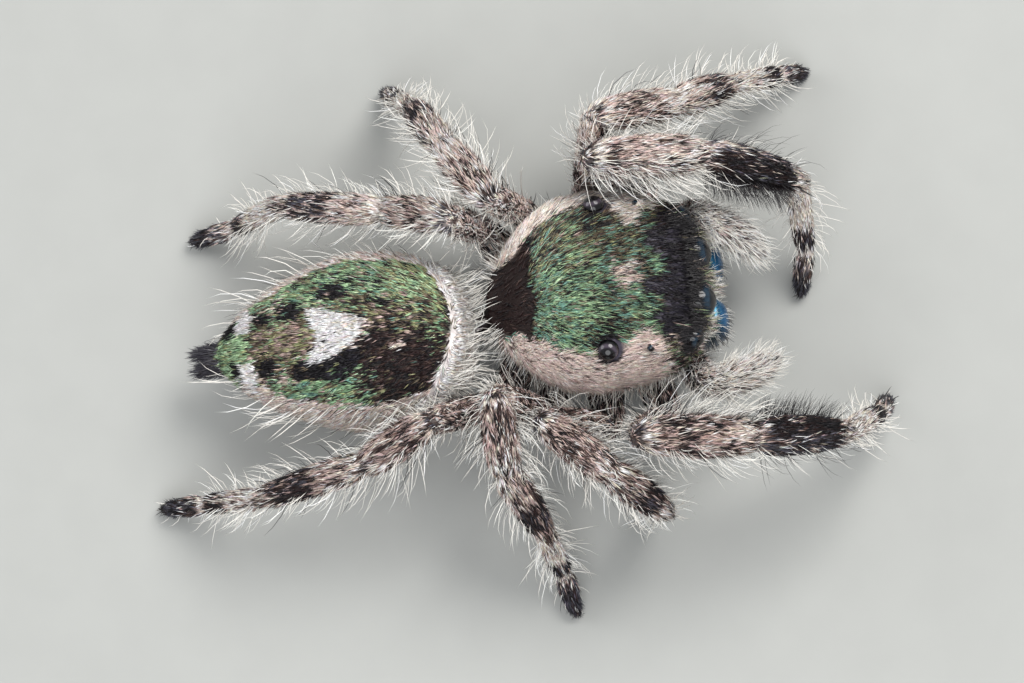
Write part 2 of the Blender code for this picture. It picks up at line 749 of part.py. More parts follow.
build_cephalothorax()
build_eyes()
build_abdomen()
build_spinnerets()
for side in SIDES:
    build_jaw(side)
    build_palp(side)
    for pair in LEG_LENGTHS:
        build_leg(side, pair)

trees = {name: surface_tree(bpy.data.objects[name]) for name in kinds}
grow_round("abdomen", ABDOMEN_X, ABDOMEN_Z, ABDOMEN_RINGS)
grow_round("cephalothorax", 0.0, HEAD_WIDEST_Z, HEAD_RINGS)
for name, (path, rows) in limbs.items():
    grow_along(name, path, rows)
for name, tufts in grown.items():
    combine(bpy.data.objects[name], tufts, "UNION")
for name, kind in kinds.items():
    place(bpy.data.objects[name], kind)
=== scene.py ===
"""Looks of a life-size jumping spider, Phidippus bidentatus, standing on a pale floor.

The head looks along -Y, the spider's own left is +X, and +Z is up. Sizes are in millimetres
in the spider's own frame, whose origin lies on the floor below the middle of the rear eyes.
"""
import math
import bmesh
import bpy
import numpy as np
from mathutils import Matrix, Vector
from mathutils.bvhtree import BVHTree
from mathutils.kdtree import KDTree


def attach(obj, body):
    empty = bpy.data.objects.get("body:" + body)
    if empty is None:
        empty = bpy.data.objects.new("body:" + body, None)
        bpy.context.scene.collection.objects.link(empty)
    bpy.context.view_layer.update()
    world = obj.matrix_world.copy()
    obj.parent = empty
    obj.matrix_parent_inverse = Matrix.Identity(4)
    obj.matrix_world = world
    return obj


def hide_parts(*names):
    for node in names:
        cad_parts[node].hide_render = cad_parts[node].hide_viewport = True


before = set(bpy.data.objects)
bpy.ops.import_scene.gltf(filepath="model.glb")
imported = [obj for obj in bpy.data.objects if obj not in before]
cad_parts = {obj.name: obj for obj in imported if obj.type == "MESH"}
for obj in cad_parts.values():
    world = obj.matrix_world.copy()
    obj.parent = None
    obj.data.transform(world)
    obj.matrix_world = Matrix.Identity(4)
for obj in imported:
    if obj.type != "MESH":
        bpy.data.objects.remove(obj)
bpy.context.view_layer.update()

# THE BODY SHELL
# One closed skin over carapace, abdomen, palps and all eight legs: the spider's own cuticle,
# a thin leathery shell, dark partly in its own colour and partly as painted shade in the gaps of
# the coat. It lies inside the solids by the depth of the short coat.

MM = 0.001
STAND_AT = np.array((0.40, -1.80, 0.0))
COAT_DEPTH = 0.05
SIDES = {"left": 1, "right": -1}
shell_parts = []


def unit(vectors):
    """Vectors brought to length one."""
    return vectors / np.maximum(np.linalg.norm(vectors, axis=-1, keepdims=True), 1e-9)


def add_shell(kind, limb, rings, **facts):
    """Keep one closed part of the shell, given as rings of points from end to end."""
    count, around = len(rings), len(rings[0])
    ends = [[rings[0].mean(0)], [rings[-1].mean(0)]]
    points = np.concatenate([np.array(rings).reshape(-1, 3), *ends])
    faces = []
    for i in range(count - 1):
        low, high = i * around, (i + 1) * around
        for j in range(around):
            k = (j + 1) % around
            faces.append((low + j, low + k, high + k, high + j))
    last = (count - 1) * around
    for j in range(around):
        k = (j + 1) % around
        faces.append((count * around, k, j))
        faces.append((count * around + 1, last + j, last + k))
    shell_parts.append({"kind": kind, "limb": limb, "points": points, "faces": faces, **facts})


def limb_rings(start, end, radii, around=20, steps=10):
    """Rings of a straight limb joint whose girth runs from first to middle to last radius."""
    start, end = np.array(start, float), np.array(end, float)
    axis = end - start
    length = np.linalg.norm(axis)
    axis /= length
    side = unit(np.cross(axis, (0.0, 0.0, 1.0) if abs(axis[2]) < 0.95 else (0.0, 1.0, 0.0)))
    up = np.cross(side, axis)
    first, middle, last = radii
    stations = [(-first * 0.62, 0.40), (-first * 0.38, 0.72)]
    stations += [(t * length, 1.0) for t in np.linspace(0, 1, steps)]
    stations += [(length + last * 0.38, 0.72), (length + last * 0.62, 0.40)]
    turn = np.linspace(0, 2 * np.pi, around, endpoint=False)
    waist_depth, waist_reach = 0.13, 0.07
    rings = []
    for at, share in stations:
        t = min(max(at / length, 0.0), 1.0)
        girth = first * (1 - t) * (1 - 2 * t) + middle * 4 * t * (1 - t) + last * t * (2 * t - 1)
        waist = (1 - waist_depth * math.exp(-((t / waist_reach) ** 2))
                 - waist_depth * math.exp(-(((1 - t) / waist_reach) ** 2)))
        circle = np.outer(np.cos(turn), side) + np.outer(np.sin(turn), up)
        rings.append(start + axis * at + circle * girth * share * waist)
    return rings


def smooth_rows(rows, at):
    """Read a table of rows smoothly between its stations."""
    rows = np.array(rows)
    fine = np.linspace(rows[0, 0], rows[-1, 0], 200)
    kernel = np.hanning(21)
    kernel /= kernel.sum()
    out = []
    for k in range(1, rows.shape[1]):
        line = np.interp(fine, rows[:, 0], rows[:, k])
        before, after = 2 * line[0] - line[10:0:-1], 2 * line[-1] - line[-2:-12:-1]
        padded = np.concatenate([before, line, after])
        out.append(np.interp(at, fine, np.convolve(padded, kernel, "valid")))
    return out


# Carapace: distance behind the rear eyes, half width and height of the back
HEAD_FRONT, HEAD_REAR = -2.05, 2.34
HEAD_ROWS = (
    (-2.10, 1.46, 2.58), (-1.40, 1.76, 2.91), (-0.60, 1.95, 3.13), (0.20, 2.04, 3.23),
    (0.90, 1.91, 3.11), (1.50, 1.54, 2.62), (2.05, 1.02, 1.95), (2.40, 0.70, 1.68),
)
HEAD_WIDEST_Z, HEAD_FLOOR_Z = 1.80, 0.92
HEAD_BOXY_ABOVE, HEAD_KEELED_BELOW = 2.45, 1.35
FACE_SHELF_Y, FACE_SHELF_Z = -1.44, 1.90


def carapace_ring(at, around=72):
    """One cross section of the carapace, boxy above and keeled below."""
    half_width, top = smooth_rows(HEAD_ROWS, at)
    along = (at - HEAD_FRONT) / (HEAD_REAR - HEAD_FRONT)
    close = (1 - abs(2 * along - 1) ** 7) ** (1 / 2.6)
    turn = np.linspace(0, 2 * np.pi, around, endpoint=False)
    c, s = np.cos(turn), np.sin(turn)
    box = np.where(s >= 0, HEAD_BOXY_ABOVE, HEAD_KEELED_BELOW)
    across = np.sign(c) * np.abs(c) ** (2 / box)
    rise = np.where(s >= 0, top - HEAD_WIDEST_Z, HEAD_WIDEST_Z - HEAD_FLOOR_Z)
    z = HEAD_WIDEST_Z + rise * np.sign(s) * np.abs(s) ** (2 / box) * close
    if at < FACE_SHELF_Y:
        z = np.maximum(z, FACE_SHELF_Z)
    return np.stack([half_width * across * close, np.full(around, at), z], 1)


head_turns = np.linspace(0.05, np.pi - 0.05, 46)
head_stations = HEAD_FRONT + (HEAD_REAR - HEAD_FRONT) * (1 - np.cos(head_turns)) / 2
add_shell("carapace", "body", [carapace_ring(at) for at in head_stations])

# Abdomen, drawn out to the spinnerets and joined to the carapace by the thin pedicel
ABDOMEN_X, ABDOMEN_Z = -0.42, 1.55
ABDOMEN_FRONT, ABDOMEN_WIDEST, ABDOMEN_REAR = 2.68, 4.85, 7.80
ABDOMEN_HALF_WIDTH, ABDOMEN_HALF_HEIGHT = 1.80, 1.20
BLUNT_FRONT, POINTED_REAR = 2.3, 1.55


def abdomen_girth(at):
    """Share of the full girth of the abdomen at each distance along it."""
    front = np.clip((ABDOMEN_WIDEST - at) / (ABDOMEN_WIDEST - ABDOMEN_FRONT), 0, 1)
    rear = np.clip((at - ABDOMEN_WIDEST) / (ABDOMEN_REAR - ABDOMEN_WIDEST), 0, 1)
    return np.where(at < ABDOMEN_WIDEST, (1 - front ** BLUNT_FRONT) ** (1 / BLUNT_FRONT),
                    (1 - rear ** POINTED_REAR) ** (1 / POINTED_REAR))


def abdomen_ring(at, around=72):
    """One cross section of the abdomen."""
    turn = np.linspace(0, 2 * np.pi, around, endpoint=False)
    return np.stack([
        ABDOMEN_X + ABDOMEN_HALF_WIDTH * abdomen_girth(at) * np.cos(turn),
        np.full(around, at),
        ABDOMEN_Z + ABDOMEN_HALF_HEIGHT * abdomen_girth(at) * np.sin(turn),
    ], 1)


abdomen_turns = np.linspace(0.04, np.pi - 0.04, 52)
abdomen_middle = (ABDOMEN_FRONT + ABDOMEN_REAR) / 2
abdomen_reach = (ABDOMEN_REAR - ABDOMEN_FRONT) / 2
abdomen_stations = abdomen_middle - abdomen_reach * np.cos(abdomen_turns)
add_shell("abdomen", "body", [abdomen_ring(at) for at in abdomen_stations])
add_shell("pedicel", "body",
          limb_rings((-0.08, 1.9, 1.38), (ABDOMEN_X, 3.2, 1.40), (0.26, 0.24, 0.34)))
# Spinnerets: distance from the middle, height at the root and the tip, girth and reach
for across, start_z, end_z, girth, end_y in ((0.15, 1.34, 1.24, 0.160, 8.22),
                                             (0.11, 1.58, 1.44, 0.125, 8.10)):
    for side in (1, -1):
        start = np.array((ABDOMEN_X + side * across, 7.35, start_z))
        end = np.array((ABDOMEN_X + side * across * 1.15, end_y, end_z))
        rings = limb_rings(start, end, (girth * 1.1, girth, girth * 0.72), 14, 7)
        add_shell("spinneret", "body", rings, start=start, end=end)

# Breastplate and mouth parts under the head
add_shell("breastplate", "body",
          limb_rings((0, -0.75, 1.06), (0, 1.15, 1.06), (0.26, 0.36, 0.20)))
for side in (1, -1):
    root, tip = (side * 0.26, -0.95, 1.12), (side * 0.20, -1.36, 1.08)
    add_shell("mouth", "body", limb_rings(root, tip, (0.20, 0.22, 0.17)))

# Legs: lengths and radii of femur, patella, tibia, metatarsus and tarsus, and the pose as
# heading outwards from straight ahead and climb of each
BONES = ("femur", "patella", "tibia", "metatarsus", "tarsus")
LEG_LENGTHS = {
    1: (2.50, 2.20, 2.20, 1.75, 0.90),
    2: (2.10, 1.75, 1.40, 1.50, 0.75),
    3: (2.20, 1.50, 1.60, 1.30, 0.80),
    4: (2.40, 1.50, 2.30, 1.60, 0.95),
}
COXA_ROOTS = {
    1: (0.70, -0.60, 1.05), 2: (0.75, 0.14, 1.02), 3: (0.75, 0.86, 1.02), 4: (0.60, 1.45, 1.02),
}
TROCHANTERS = {
    1: (2.50, -1.10, 1.05), 2: (2.50, 0.10, 1.00), 3: (2.10, 1.30, 1.00), 4: (1.80, 2.15, 1.00),
}
COXA_RADII = (0.38, 0.35, 0.27)
FOOT_RADII = ((0.25, 0.26, 0.23), (0.22, 0.23, 0.17))
LEG_RADII = {
    1: ((0.29, 0.35, 0.32), (0.34, 0.46, 0.38), (0.36, 0.42, 0.28), (0.25, 0.27, 0.23),
        (0.22, 0.23, 0.17)),
    2: ((0.28, 0.32, 0.29), (0.31, 0.39, 0.33), (0.31, 0.36, 0.26), *FOOT_RADII),
    3: ((0.28, 0.32, 0.29), (0.31, 0.39, 0.32), (0.31, 0.35, 0.26), *FOOT_RADII),
    4: ((0.28, 0.33, 0.29), (0.31, 0.38, 0.32), (0.31, 0.34, 0.26), *FOOT_RADII),
}
POSE = {
    ("left", 1): ((-174, 65), (-3, -3), (-11, -28), (-86, -55), -103),
    ("left", 2): ((71, 62), (11, -19), (22, -25), (24, -42), 19),
    ("left", 3): ((-161, 69), (123, -9), (115, -32), (117, -59), 120),
    ("left", 4): ((-157, 69), (156, -30), (166, -15), (176, -53), -176),
    ("right", 1): ((123, 62), (8, 4), (-7, -31), (-42, -50), -68),
    ("right", 2): ((167, 50), (47, 12), (35, -28), (-107, -74), -106),
    ("right", 3): ((170, 61), (87, -8), (58, -41), (61, -62), 76),
    ("right", 4): ((153, 44), (152, -5), (174, -22), (-167, -39), -171),
}
TOE_HEIGHT = 0.19


def heading(side, turn, climb):
    """Direction from a turn outwards from straight ahead and a climb, in degrees."""
    turn, climb = math.radians(turn), math.radians(climb)
    level = math.cos(climb)
    across, along = SIDES[side] * math.sin(turn) * level, -math.cos(turn) * level
    return np.array((across, along, math.sin(climb)))


legs = []
for (side, pair), pose in POSE.items():
    mirror = np.array((SIDES[side], 1, 1))
    limb = side + "_leg_" + str(pair)
    root, hip = np.array(COXA_ROOTS[pair]) * mirror, np.array(TROCHANTERS[pair]) * mirror
    add_shell("coxa", limb, limb_rings(root, hip, COXA_RADII), start=root, end=hip)
    start = hip
    for i, bone in enumerate(BONES):
        if bone == "tarsus":
            drop = (TOE_HEIGHT - start[2]) / LEG_LENGTHS[pair][i]
            way = heading(side, pose[i], math.degrees(math.asin(max(-0.999, drop))))
        else:
            way = heading(side, *pose[i])
        end = start + way * LEG_LENGTHS[pair][i]
        radii = [r - COAT_DEPTH for r in LEG_RADII[pair][i]]
        add_shell(bone, limb, limb_rings(start, end, radii), start=start, end=end)
        start = end
    legs.append(limb)

# Palps: joints from the root beside the jaws, and their radii
PALP_PATHS = {
    "left": ((1.36, -1.70, 1.05), (1.58, -1.92, 1.58), (1.26, -2.36, 1.96), (0.98, -2.84, 1.74),
             (0.74, -3.16, 1.46)),
    "right": ((1.36, -1.70, 1.05), (1.90, -1.80, 1.58), (2.10, -2.16, 1.92), (1.92, -2.80, 1.70),
              (1.66, -3.20, 1.42)),
}
PALP_RADII = (0.20, 0.20, 0.21, 0.25, 0.15)
PALP_BONES = ("palp_root", "palp_femur", "palp_tibia", "palp_tip")
for side, path in PALP_PATHS.items():
    path = [np.array(point) * (SIDES[side], 1, 1) for point in path]
    for i, bone in enumerate(PALP_BONES):
        middle = (PALP_RADII[i] + PALP_RADII[i + 1]) / 2 + 0.01
        rings = limb_rings(path[i], path[i + 1], (PALP_RADII[i], middle, PALP_RADII[i + 1]), 16, 8)
        add_shell(bone, "palp_" + side, rings, start=path[i], end=path[i + 1])

# Low mounds that carry the eyes: place, direction looked in, radius of the lens
EYES = {
    "eye_front_middle": ((0.49, -1.90, 2.24), (0.06, -1.0, 0.05), 0.375),
    "eye_front_side": ((1.27, -1.72, 2.38), (0.50, -0.85, 0.08), 0.23),
    "eye_small": ((1.52, -0.86, 2.76), (0.85, -0.30, 0.42), 0.085),
    "eye_rear": ((1.52, 0.00, 2.86), (0.80, 0.15, 0.58), 0.22),
}
for place, look, girth in EYES.values():
    for side in (1, -1):
        mirror = np.array((side, 1, 1))
        look_on, rim = unit(np.array(look)) * mirror, np.array(place) * mirror
        radii = (girth * 1.10, girth * 1.14, girth * 1.10)
        rings = limb_rings(rim - look_on * girth * 1.6, rim - look_on * girth * 0.34, radii, 24, 6)
        add_shell("eye_mound", "body", rings)

# The parts are joined, melted into one surface and smoothed, then brought to life size
VOXEL, SOFTENINGS = 0.058, 4
LOWEST_SKIN_Z = 0.012
joined_points = np.concatenate([part["points"] for part in shell_parts])
joined_faces, face_owner = [], []
offset = 0
for index, part in enumerate(shell_parts):
    joined_faces += [tuple(v + offset for v in face) for face in part["faces"]]
    face_owner += [index] * len(part["faces"])
    offset += len(part["points"])
raw_mesh = bpy.data.meshes.new("shell_parts")
raw_mesh.from_pydata([tuple(p) for p in joined_points], [], joined_faces)
raw = bpy.data.objects.new("shell_parts", raw_mesh)
bpy.context.scene.collection.objects.link(raw)
melt = raw.modifiers.new("melt", "REMESH")
melt.mode = "VOXEL"
melt.voxel_size = VOXEL
soften = raw.modifiers.new("soften", "SMOOTH")
soften.factor = 0.5
soften.iterations = SOFTENINGS
depsgraph = bpy.context.evaluated_depsgraph_get()
skin_mesh = bpy.data.meshes.new_from_object(raw.evaluated_get(depsgraph))
bpy.data.objects.remove(raw, do_unlink=True)
skin_mesh.name = "skin"
skin = bpy.data.objects.new("skin", skin_mesh)
bpy.context.scene.collection.objects.link(skin)


def read_rows(rows, key, kind=float):
    """One vector of a mesh's vertices or triangles for each row."""
    values = np.empty(len(rows) * 3, kind)
    rows.foreach_get(key, values)
    return values.reshape(-1, 3)


skin_points = read_rows(skin_mesh.vertices, "co")
skin_points[:, 2] = np.maximum(skin_points[:, 2], LOWEST_SKIN_Z)
skin_normals = read_rows(skin_mesh.vertices, "normal")
skin_mesh.calc_loop_triangles()
skin_triangles = read_rows(skin_mesh.loop_triangles, "vertices", int)
first, second, third = (skin_points[skin_triangles[:, k]] for k in range(3))
triangle_area = np.linalg.norm(np.cross(second - first, third - first), axis=1) / 2

# Which part of the shell each place on the skin belongs to
part_tree = BVHTree.FromPolygons([tuple(p) for p in joined_points], joined_faces)
skin_part = np.array([face_owner[part_tree.find_nearest(tuple(p))[2]] for p in skin_points])
kind_of_part = np.array([part["kind"] for part in shell_parts])
limb_of_part = np.array([part["limb"] for part in shell_parts])
part_start = np.array([part.get("start", (0, 0, 0)) for part in shell_parts], float)
part_end = np.array([part.get("end", (0, 0, 1)) for part in shell_parts], float)
print("skin", len(skin_triangles), "triangles")

# THE MARKINGS
# What colour the cuticle and each scale and hair on it has, told from its place on the body.
# The scales are pink tan, cream, green, bronze and black, mixed in patches, rings and bands.
# Part of it is painted shade: the undersides, the low sides of the carapace and the near (right)
# side of legs and abdomen get darker scales.


def tone(red, green, blue):
    """A colour in linear light from its screen values."""
    c = np.array((red, green, blue)) / 255.0
    return np.where(c <= 0.04045, c / 12.92, ((c + 0.055) / 1.055) ** 2.4)


TONES = {
    "lime": tone(186, 216, 172), "green": tone(138, 170, 134), "teal": tone(124, 166, 150),
    "moss": tone(170, 172, 128), "bronze": tone(124, 112, 90), "brown": tone(88, 68, 62),
    "maroon": tone(44, 28, 28), "black": tone(24, 21, 25), "plum": tone(46, 43, 53),
    "grey": tone(86, 84, 94), "tan": tone(182, 158, 150), "pink": tone(228, 205, 197),
    "cream": tone(236, 222, 208), "white": tone(248, 244, 243),
}
GLEAM = {"lime": 0.15, "green": 0.2, "teal": 0.25, "moss": 0.2, "bronze": 0.25}
TONE_NAMES = list(TONES)
TONE_TABLE = np.array([TONES[name] for name in TONE_NAMES])
GLEAM_TABLE = np.array([GLEAM.get(name, 0.0) for name in TONE_NAMES])


def soft_step(value, low, high):
    """0 below low, 1 above high, smooth between."""
    t = np.clip((value - low) / (high - low), 0, 1)
    return t * t * (3 - 2 * t)


def inside(x, y, outline, edge=0.05, spread=0.0):
    """1 inside a drawn outline, widened by the spread, and 0 outside it, soft at the edge."""
    far = np.full(len(x), 9.0)
    crossed = np.zeros(len(x), bool)
    for (ax, ay), (bx, by) in zip(outline, outline[1:] + outline[:1]):
        run, rise = bx - ax, by - ay
        t = np.clip(((x - ax) * run + (y - ay) * rise) / (run ** 2 + rise ** 2), 0, 1)
        far = np.minimum(far, np.hypot(x - ax - t * run, y - ay - t * rise))
        slope = run / rise if by != ay else 0.0
        crossed ^= ((ay > y) != (by > y)) & (x < slope * (y - ay) + ax)
    return soft_step(np.where(crossed, far, -far) + spread, -edge, edge)


def ripple(points, scale, seed):
    """Soft random swell over the body, from about -1 to 1."""
    draw = np.random.default_rng(seed)
    total = np.zeros(len(points))
    for _ in range(7):
        wave = draw.normal(size=3) * scale
        total += np.sin(points @ wave + draw.uniform(0, 6.28))
    return total / 3.2


def dots(a, b):
    """The dot product of each pair of rows."""
    return np.einsum("ij,ij->i", a, b)


def limb_place(points, normals, part):
    """How far along its joint a place is, how much it faces up and to one side, and the axes."""
    start, end = part_start[part], part_end[part]
    axis = end - start
    length = np.linalg.norm(axis, axis=1)
    axis = axis / length[:, None]
    along = dots(points - start, axis) / length
    side = unit(np.cross(axis, (0.0, 0.0, 1.0)) + (1e-6, 0.0, 0.0))
    up = np.cross(side, axis)
    return along, dots(normals, up), dots(normals, side), axis, side


def lay(weights, mark, **mix):
    """Paint a mark over what lies under it."""
    for name in weights:
        weights[name] = weights[name] * (1 - mark) + mark * mix.get(name, 0.0)


# Carapace: half width of the eye field, where the pale cheeks begin, at distances along it
CHEEK_EDGE = np.array((
    (-2.0, 1.9), (-1.3, 1.72), (-1.1, 1.45), (-0.85, 1.26), (-0.65, 1.10), (-0.4, 1.37),
    (0.2, 1.55), (0.7, 1.46), (1.25, 1.16), (1.6, 0.90), (2.0, 0.70), (2.4, 0.60),
))
# Ragged line across the head where the coloured scales end and the dark front begins
FIELD_FRONT = np.array((
    (-1.6, -1.12), (-1.15, -1.06), (-0.93, -0.74), (-0.80, -1.15), (-0.55, -1.13),
    (-0.42, -0.72), (-0.16, -0.74), (-0.06, -1.17), (0.16, -1.20), (0.58, -0.82),
    (0.80, -0.95), (1.05, -1.10), (1.6, -1.12),
))
HEAD_PATCH = [(0.18, -0.16), (0.20, -0.74), (-0.20, -0.71), (-0.32, -0.31), (-0.05, -0.10)]
HEAD_CREAM = [(1.50, -0.36), (1.40, -0.60), (0.94, -0.76), (0.98, -0.52), (1.22, -0.34)]
TEMPLE_SPOT = [(-1.28, -1.22), (-1.26, -1.62), (-1.58, -1.40)]
EYE_BLOTCH = [(1.00, -0.30), (1.36, -0.34), (1.40, 0.34), (1.08, 0.50), (0.90, 0.10)]
SHADED_BELOW_Z = 1.35


def carapace_tones(points):
    """Weights of the scale colours over the carapace, and how bare it is."""
    x, y, z = points.T
    weights = {name: np.zeros(len(points)) for name in TONE_NAMES}
    jitter = ripple(points, 9.0, 5) * 0.07
    cheek_from = np.interp(y, CHEEK_EDGE[:, 0], CHEEK_EDGE[:, 1])
    cheek = soft_step(np.abs(x) - cheek_from + jitter * 0.7, -0.07, 0.07)
    cheek = cheek * soft_step(y + jitter, -1.22, -1.0) * soft_step(np.abs(x), 0.4, 0.7)
    temple = soft_step(-y, 1.0, 1.2) * soft_step(np.abs(x), 1.22, 1.42)
    dark_from = np.interp(x, FIELD_FRONT[:, 0], FIELD_FRONT[:, 1])
    dark = soft_step(dark_from - y + jitter * 0.6, -0.06, 0.06)
    fringe = soft_step(-y, 1.80, 1.90) * soft_step(z, 2.2, 2.4)
    face = soft_step(-y, 1.84, 1.94) * soft_step(-z, -2.46, -2.3)
    slope = soft_step(y + jitter, 1.28, 1.42) * (1 - cheek)
    swell = ripple(points, 2.4, 3)
    far_half = soft_step(x, -0.1, 0.9) * soft_step(y, -1.0, -0.5)
    blotch = inside(np.abs(x), y, EYE_BLOTCH, 0.12)
    rear_teal = soft_step(y, 0.4, 1.0)
    weights["green"] = np.clip(1.0 + 0.8 * swell - 0.75 * far_half, 0.1, 3)
    weights["lime"] = np.clip(0.42 + 0.6 * swell - 0.42 * far_half, 0, 2)
    weights["teal"] = np.clip(0.65 - 0.4 * swell + 0.5 * rear_teal - 0.3 * far_half, 0, 2)
    weights["moss"] = 0.14 + 0.25 * far_half
    weights["bronze"] = np.clip(0.50 - 0.4 * swell + 0.7 * far_half, 0, 2)
    weights["brown"] = 0.14 + 0.25 * far_half
    weights["black"] = (0.75 + 1.2 * np.clip(ripple(points, 3.4, 9), 0, 1)
                        + blotch * 2.6 + far_half * 0.9)
    weights["tan"] = 0.10 + 0.0 * x
    ring = np.zeros(len(points))
    for kind in ("eye_rear", "eye_front_side"):
        place, _, girth = EYES[kind]
        away = np.linalg.norm(np.stack([np.abs(x), y, z], 1) - place, axis=1) / girth
        ring = np.maximum(ring, 1 - soft_step(away, 1.30, 1.62))
    lay(weights, inside(x, y, HEAD_PATCH, 0.09) * 0.94, pink=1.0, cream=0.35, tan=0.5, black=0.35)
    lay(weights, dark, plum=1.0, black=0.8, maroon=0.2)
    lay(weights, slope, maroon=1.0, black=0.7, brown=0.25)
    lay(weights, temple, black=1.0, brown=0.6, moss=0.35, pink=0.25, green=0.2)
    lay(weights, cheek, pink=2.4, tan=0.25, cream=0.7, brown=0.07)
    lay(weights, cheek * soft_step(x, 0.0, 0.5) * 0.85, cream=1.2, pink=0.4, white=0.7)
    lay(weights, cheek * soft_step(-z, -1.5, -1.2) * 0.5, brown=0.5, tan=1.0, pink=1.0)
    lay(weights, inside(x, y, HEAD_CREAM, 0.06), cream=1.0, pink=0.5, white=0.4)
    lay(weights, inside(x, y, TEMPLE_SPOT, 0.06) * 0.9, pink=1.0, tan=0.8)
    lay(weights, fringe * 0.9, cream=0.4, moss=0.7, green=0.5, tan=0.3, black=1.4)
    lay(weights, face * 0.9, white=0.8, cream=0.5, green=0.25, black=0.35)
    lay(weights, ring, black=1.0, plum=0.6)
    # Painted shade: below SHADED_BELOW_Z the low sides of the carapace keep a third of their scale
    # colours and take mostly black.
    for name in weights:
        weights[name] = np.where(z < SHADED_BELOW_Z, weights[name] * 0.3, weights[name])
    weights["black"] += np.where(z < SHADED_BELOW_Z, 0.6, 0.0)
    bare = np.maximum(dark * (1 - fringe) * (1 - temple) * 0.86, slope * 0.95)
    return weights, np.maximum(bare, ring * 0.85)


# Abdomen: outlines of the marks on its back, as offset from its middle and distance along
WHITE_CHEVRON = [
    (0.52, 5.96), (0.48, 5.68), (0.34, 5.32), (0.18, 4.92), (0.04, 4.76), (-0.28, 4.90),
    (-0.50, 5.30), (-0.64, 5.59), (-0.66, 5.95), (-0.55, 6.00), (-0.20, 5.78), (-0.04, 5.76),
    (0.22, 5.89),
]
CHEVRON_FRONT = [(0.20, 4.98), (0.06, 4.62), (-0.30, 4.72), (-0.44, 5.10), (-0.10, 5.25)]
BLACK_MARKS = (
    [(0.69, 5.71), (0.97, 5.46), (0.91, 5.18), (0.76, 5.10), (0.60, 5.39)],
    [(0.61, 6.39), (0.68, 6.22), (0.52, 6.02), (0.27, 6.16), (0.44, 6.33)],
    [(0.58, 7.03), (0.60, 6.83), (0.38, 6.64), (0.34, 6.95)],
    [(-0.66, 6.27), (-0.60, 6.06), (-0.69, 5.78), (-0.52, 5.35), (-0.43, 4.98), (-0.63, 4.84),
     (-1.0, 5.17), (-1.09, 5.41), (-0.92, 5.81), (-0.90, 6.22)],
    [(-0.46, 6.88), (-0.46, 6.60), (-0.75, 6.72), (-0.67, 6.90)],
    [(-0.33, 7.53), (-0.42, 7.36), (-0.62, 7.34), (-0.49, 7.50)],
    [(0.56, 7.68), (0.66, 7.40), (0.30, 7.40), (0.31, 7.62)],
)
DARK_FRONT = [
    (-0.12, 5.04), (-0.08, 4.58), (-0.30, 4.15), (-0.18, 3.69), (-0.36, 3.34), (-0.74, 3.20),
    (-1.09, 3.64), (-1.16, 4.23), (-0.95, 4.61), (-0.85, 4.97),
]
BROWN_MIDDLE = [
    (0.17, 7.15), (0.31, 6.34), (0.13, 5.98), (-0.14, 5.78), (-0.51, 6.04), (-0.32, 6.91),
]
PALE_MARKS = (
    [(0.67, 6.69), (0.87, 6.40), (0.55, 6.46), (0.43, 6.61)],
    [(-0.73, 6.66), (-0.61, 6.40), (-0.95, 6.35), (-0.95, 6.58)],
    [(-0.40, 4.32), (-0.34, 4.08), (-0.54, 4.10), (-0.55, 4.28)],
)
WHITE_BARS = (
    [(0.58, 7.40), (0.88, 7.14), (0.62, 6.98), (0.22, 7.10), (0.24, 7.38)],
    [(-0.34, 7.40), (-0.36, 7.14), (-0.68, 7.02), (-0.96, 7.04), (-0.78, 7.36)],
)


def round_abdomen(points):
    """Angle round the abdomen, from 0 on its back to 180 underneath."""
    off = (points[:, 0] - ABDOMEN_X) / ABDOMEN_HALF_WIDTH
    return np.degrees(np.arctan2(np.abs(off), (points[:, 2] - ABDOMEN_Z) / ABDOMEN_HALF_HEIGHT))


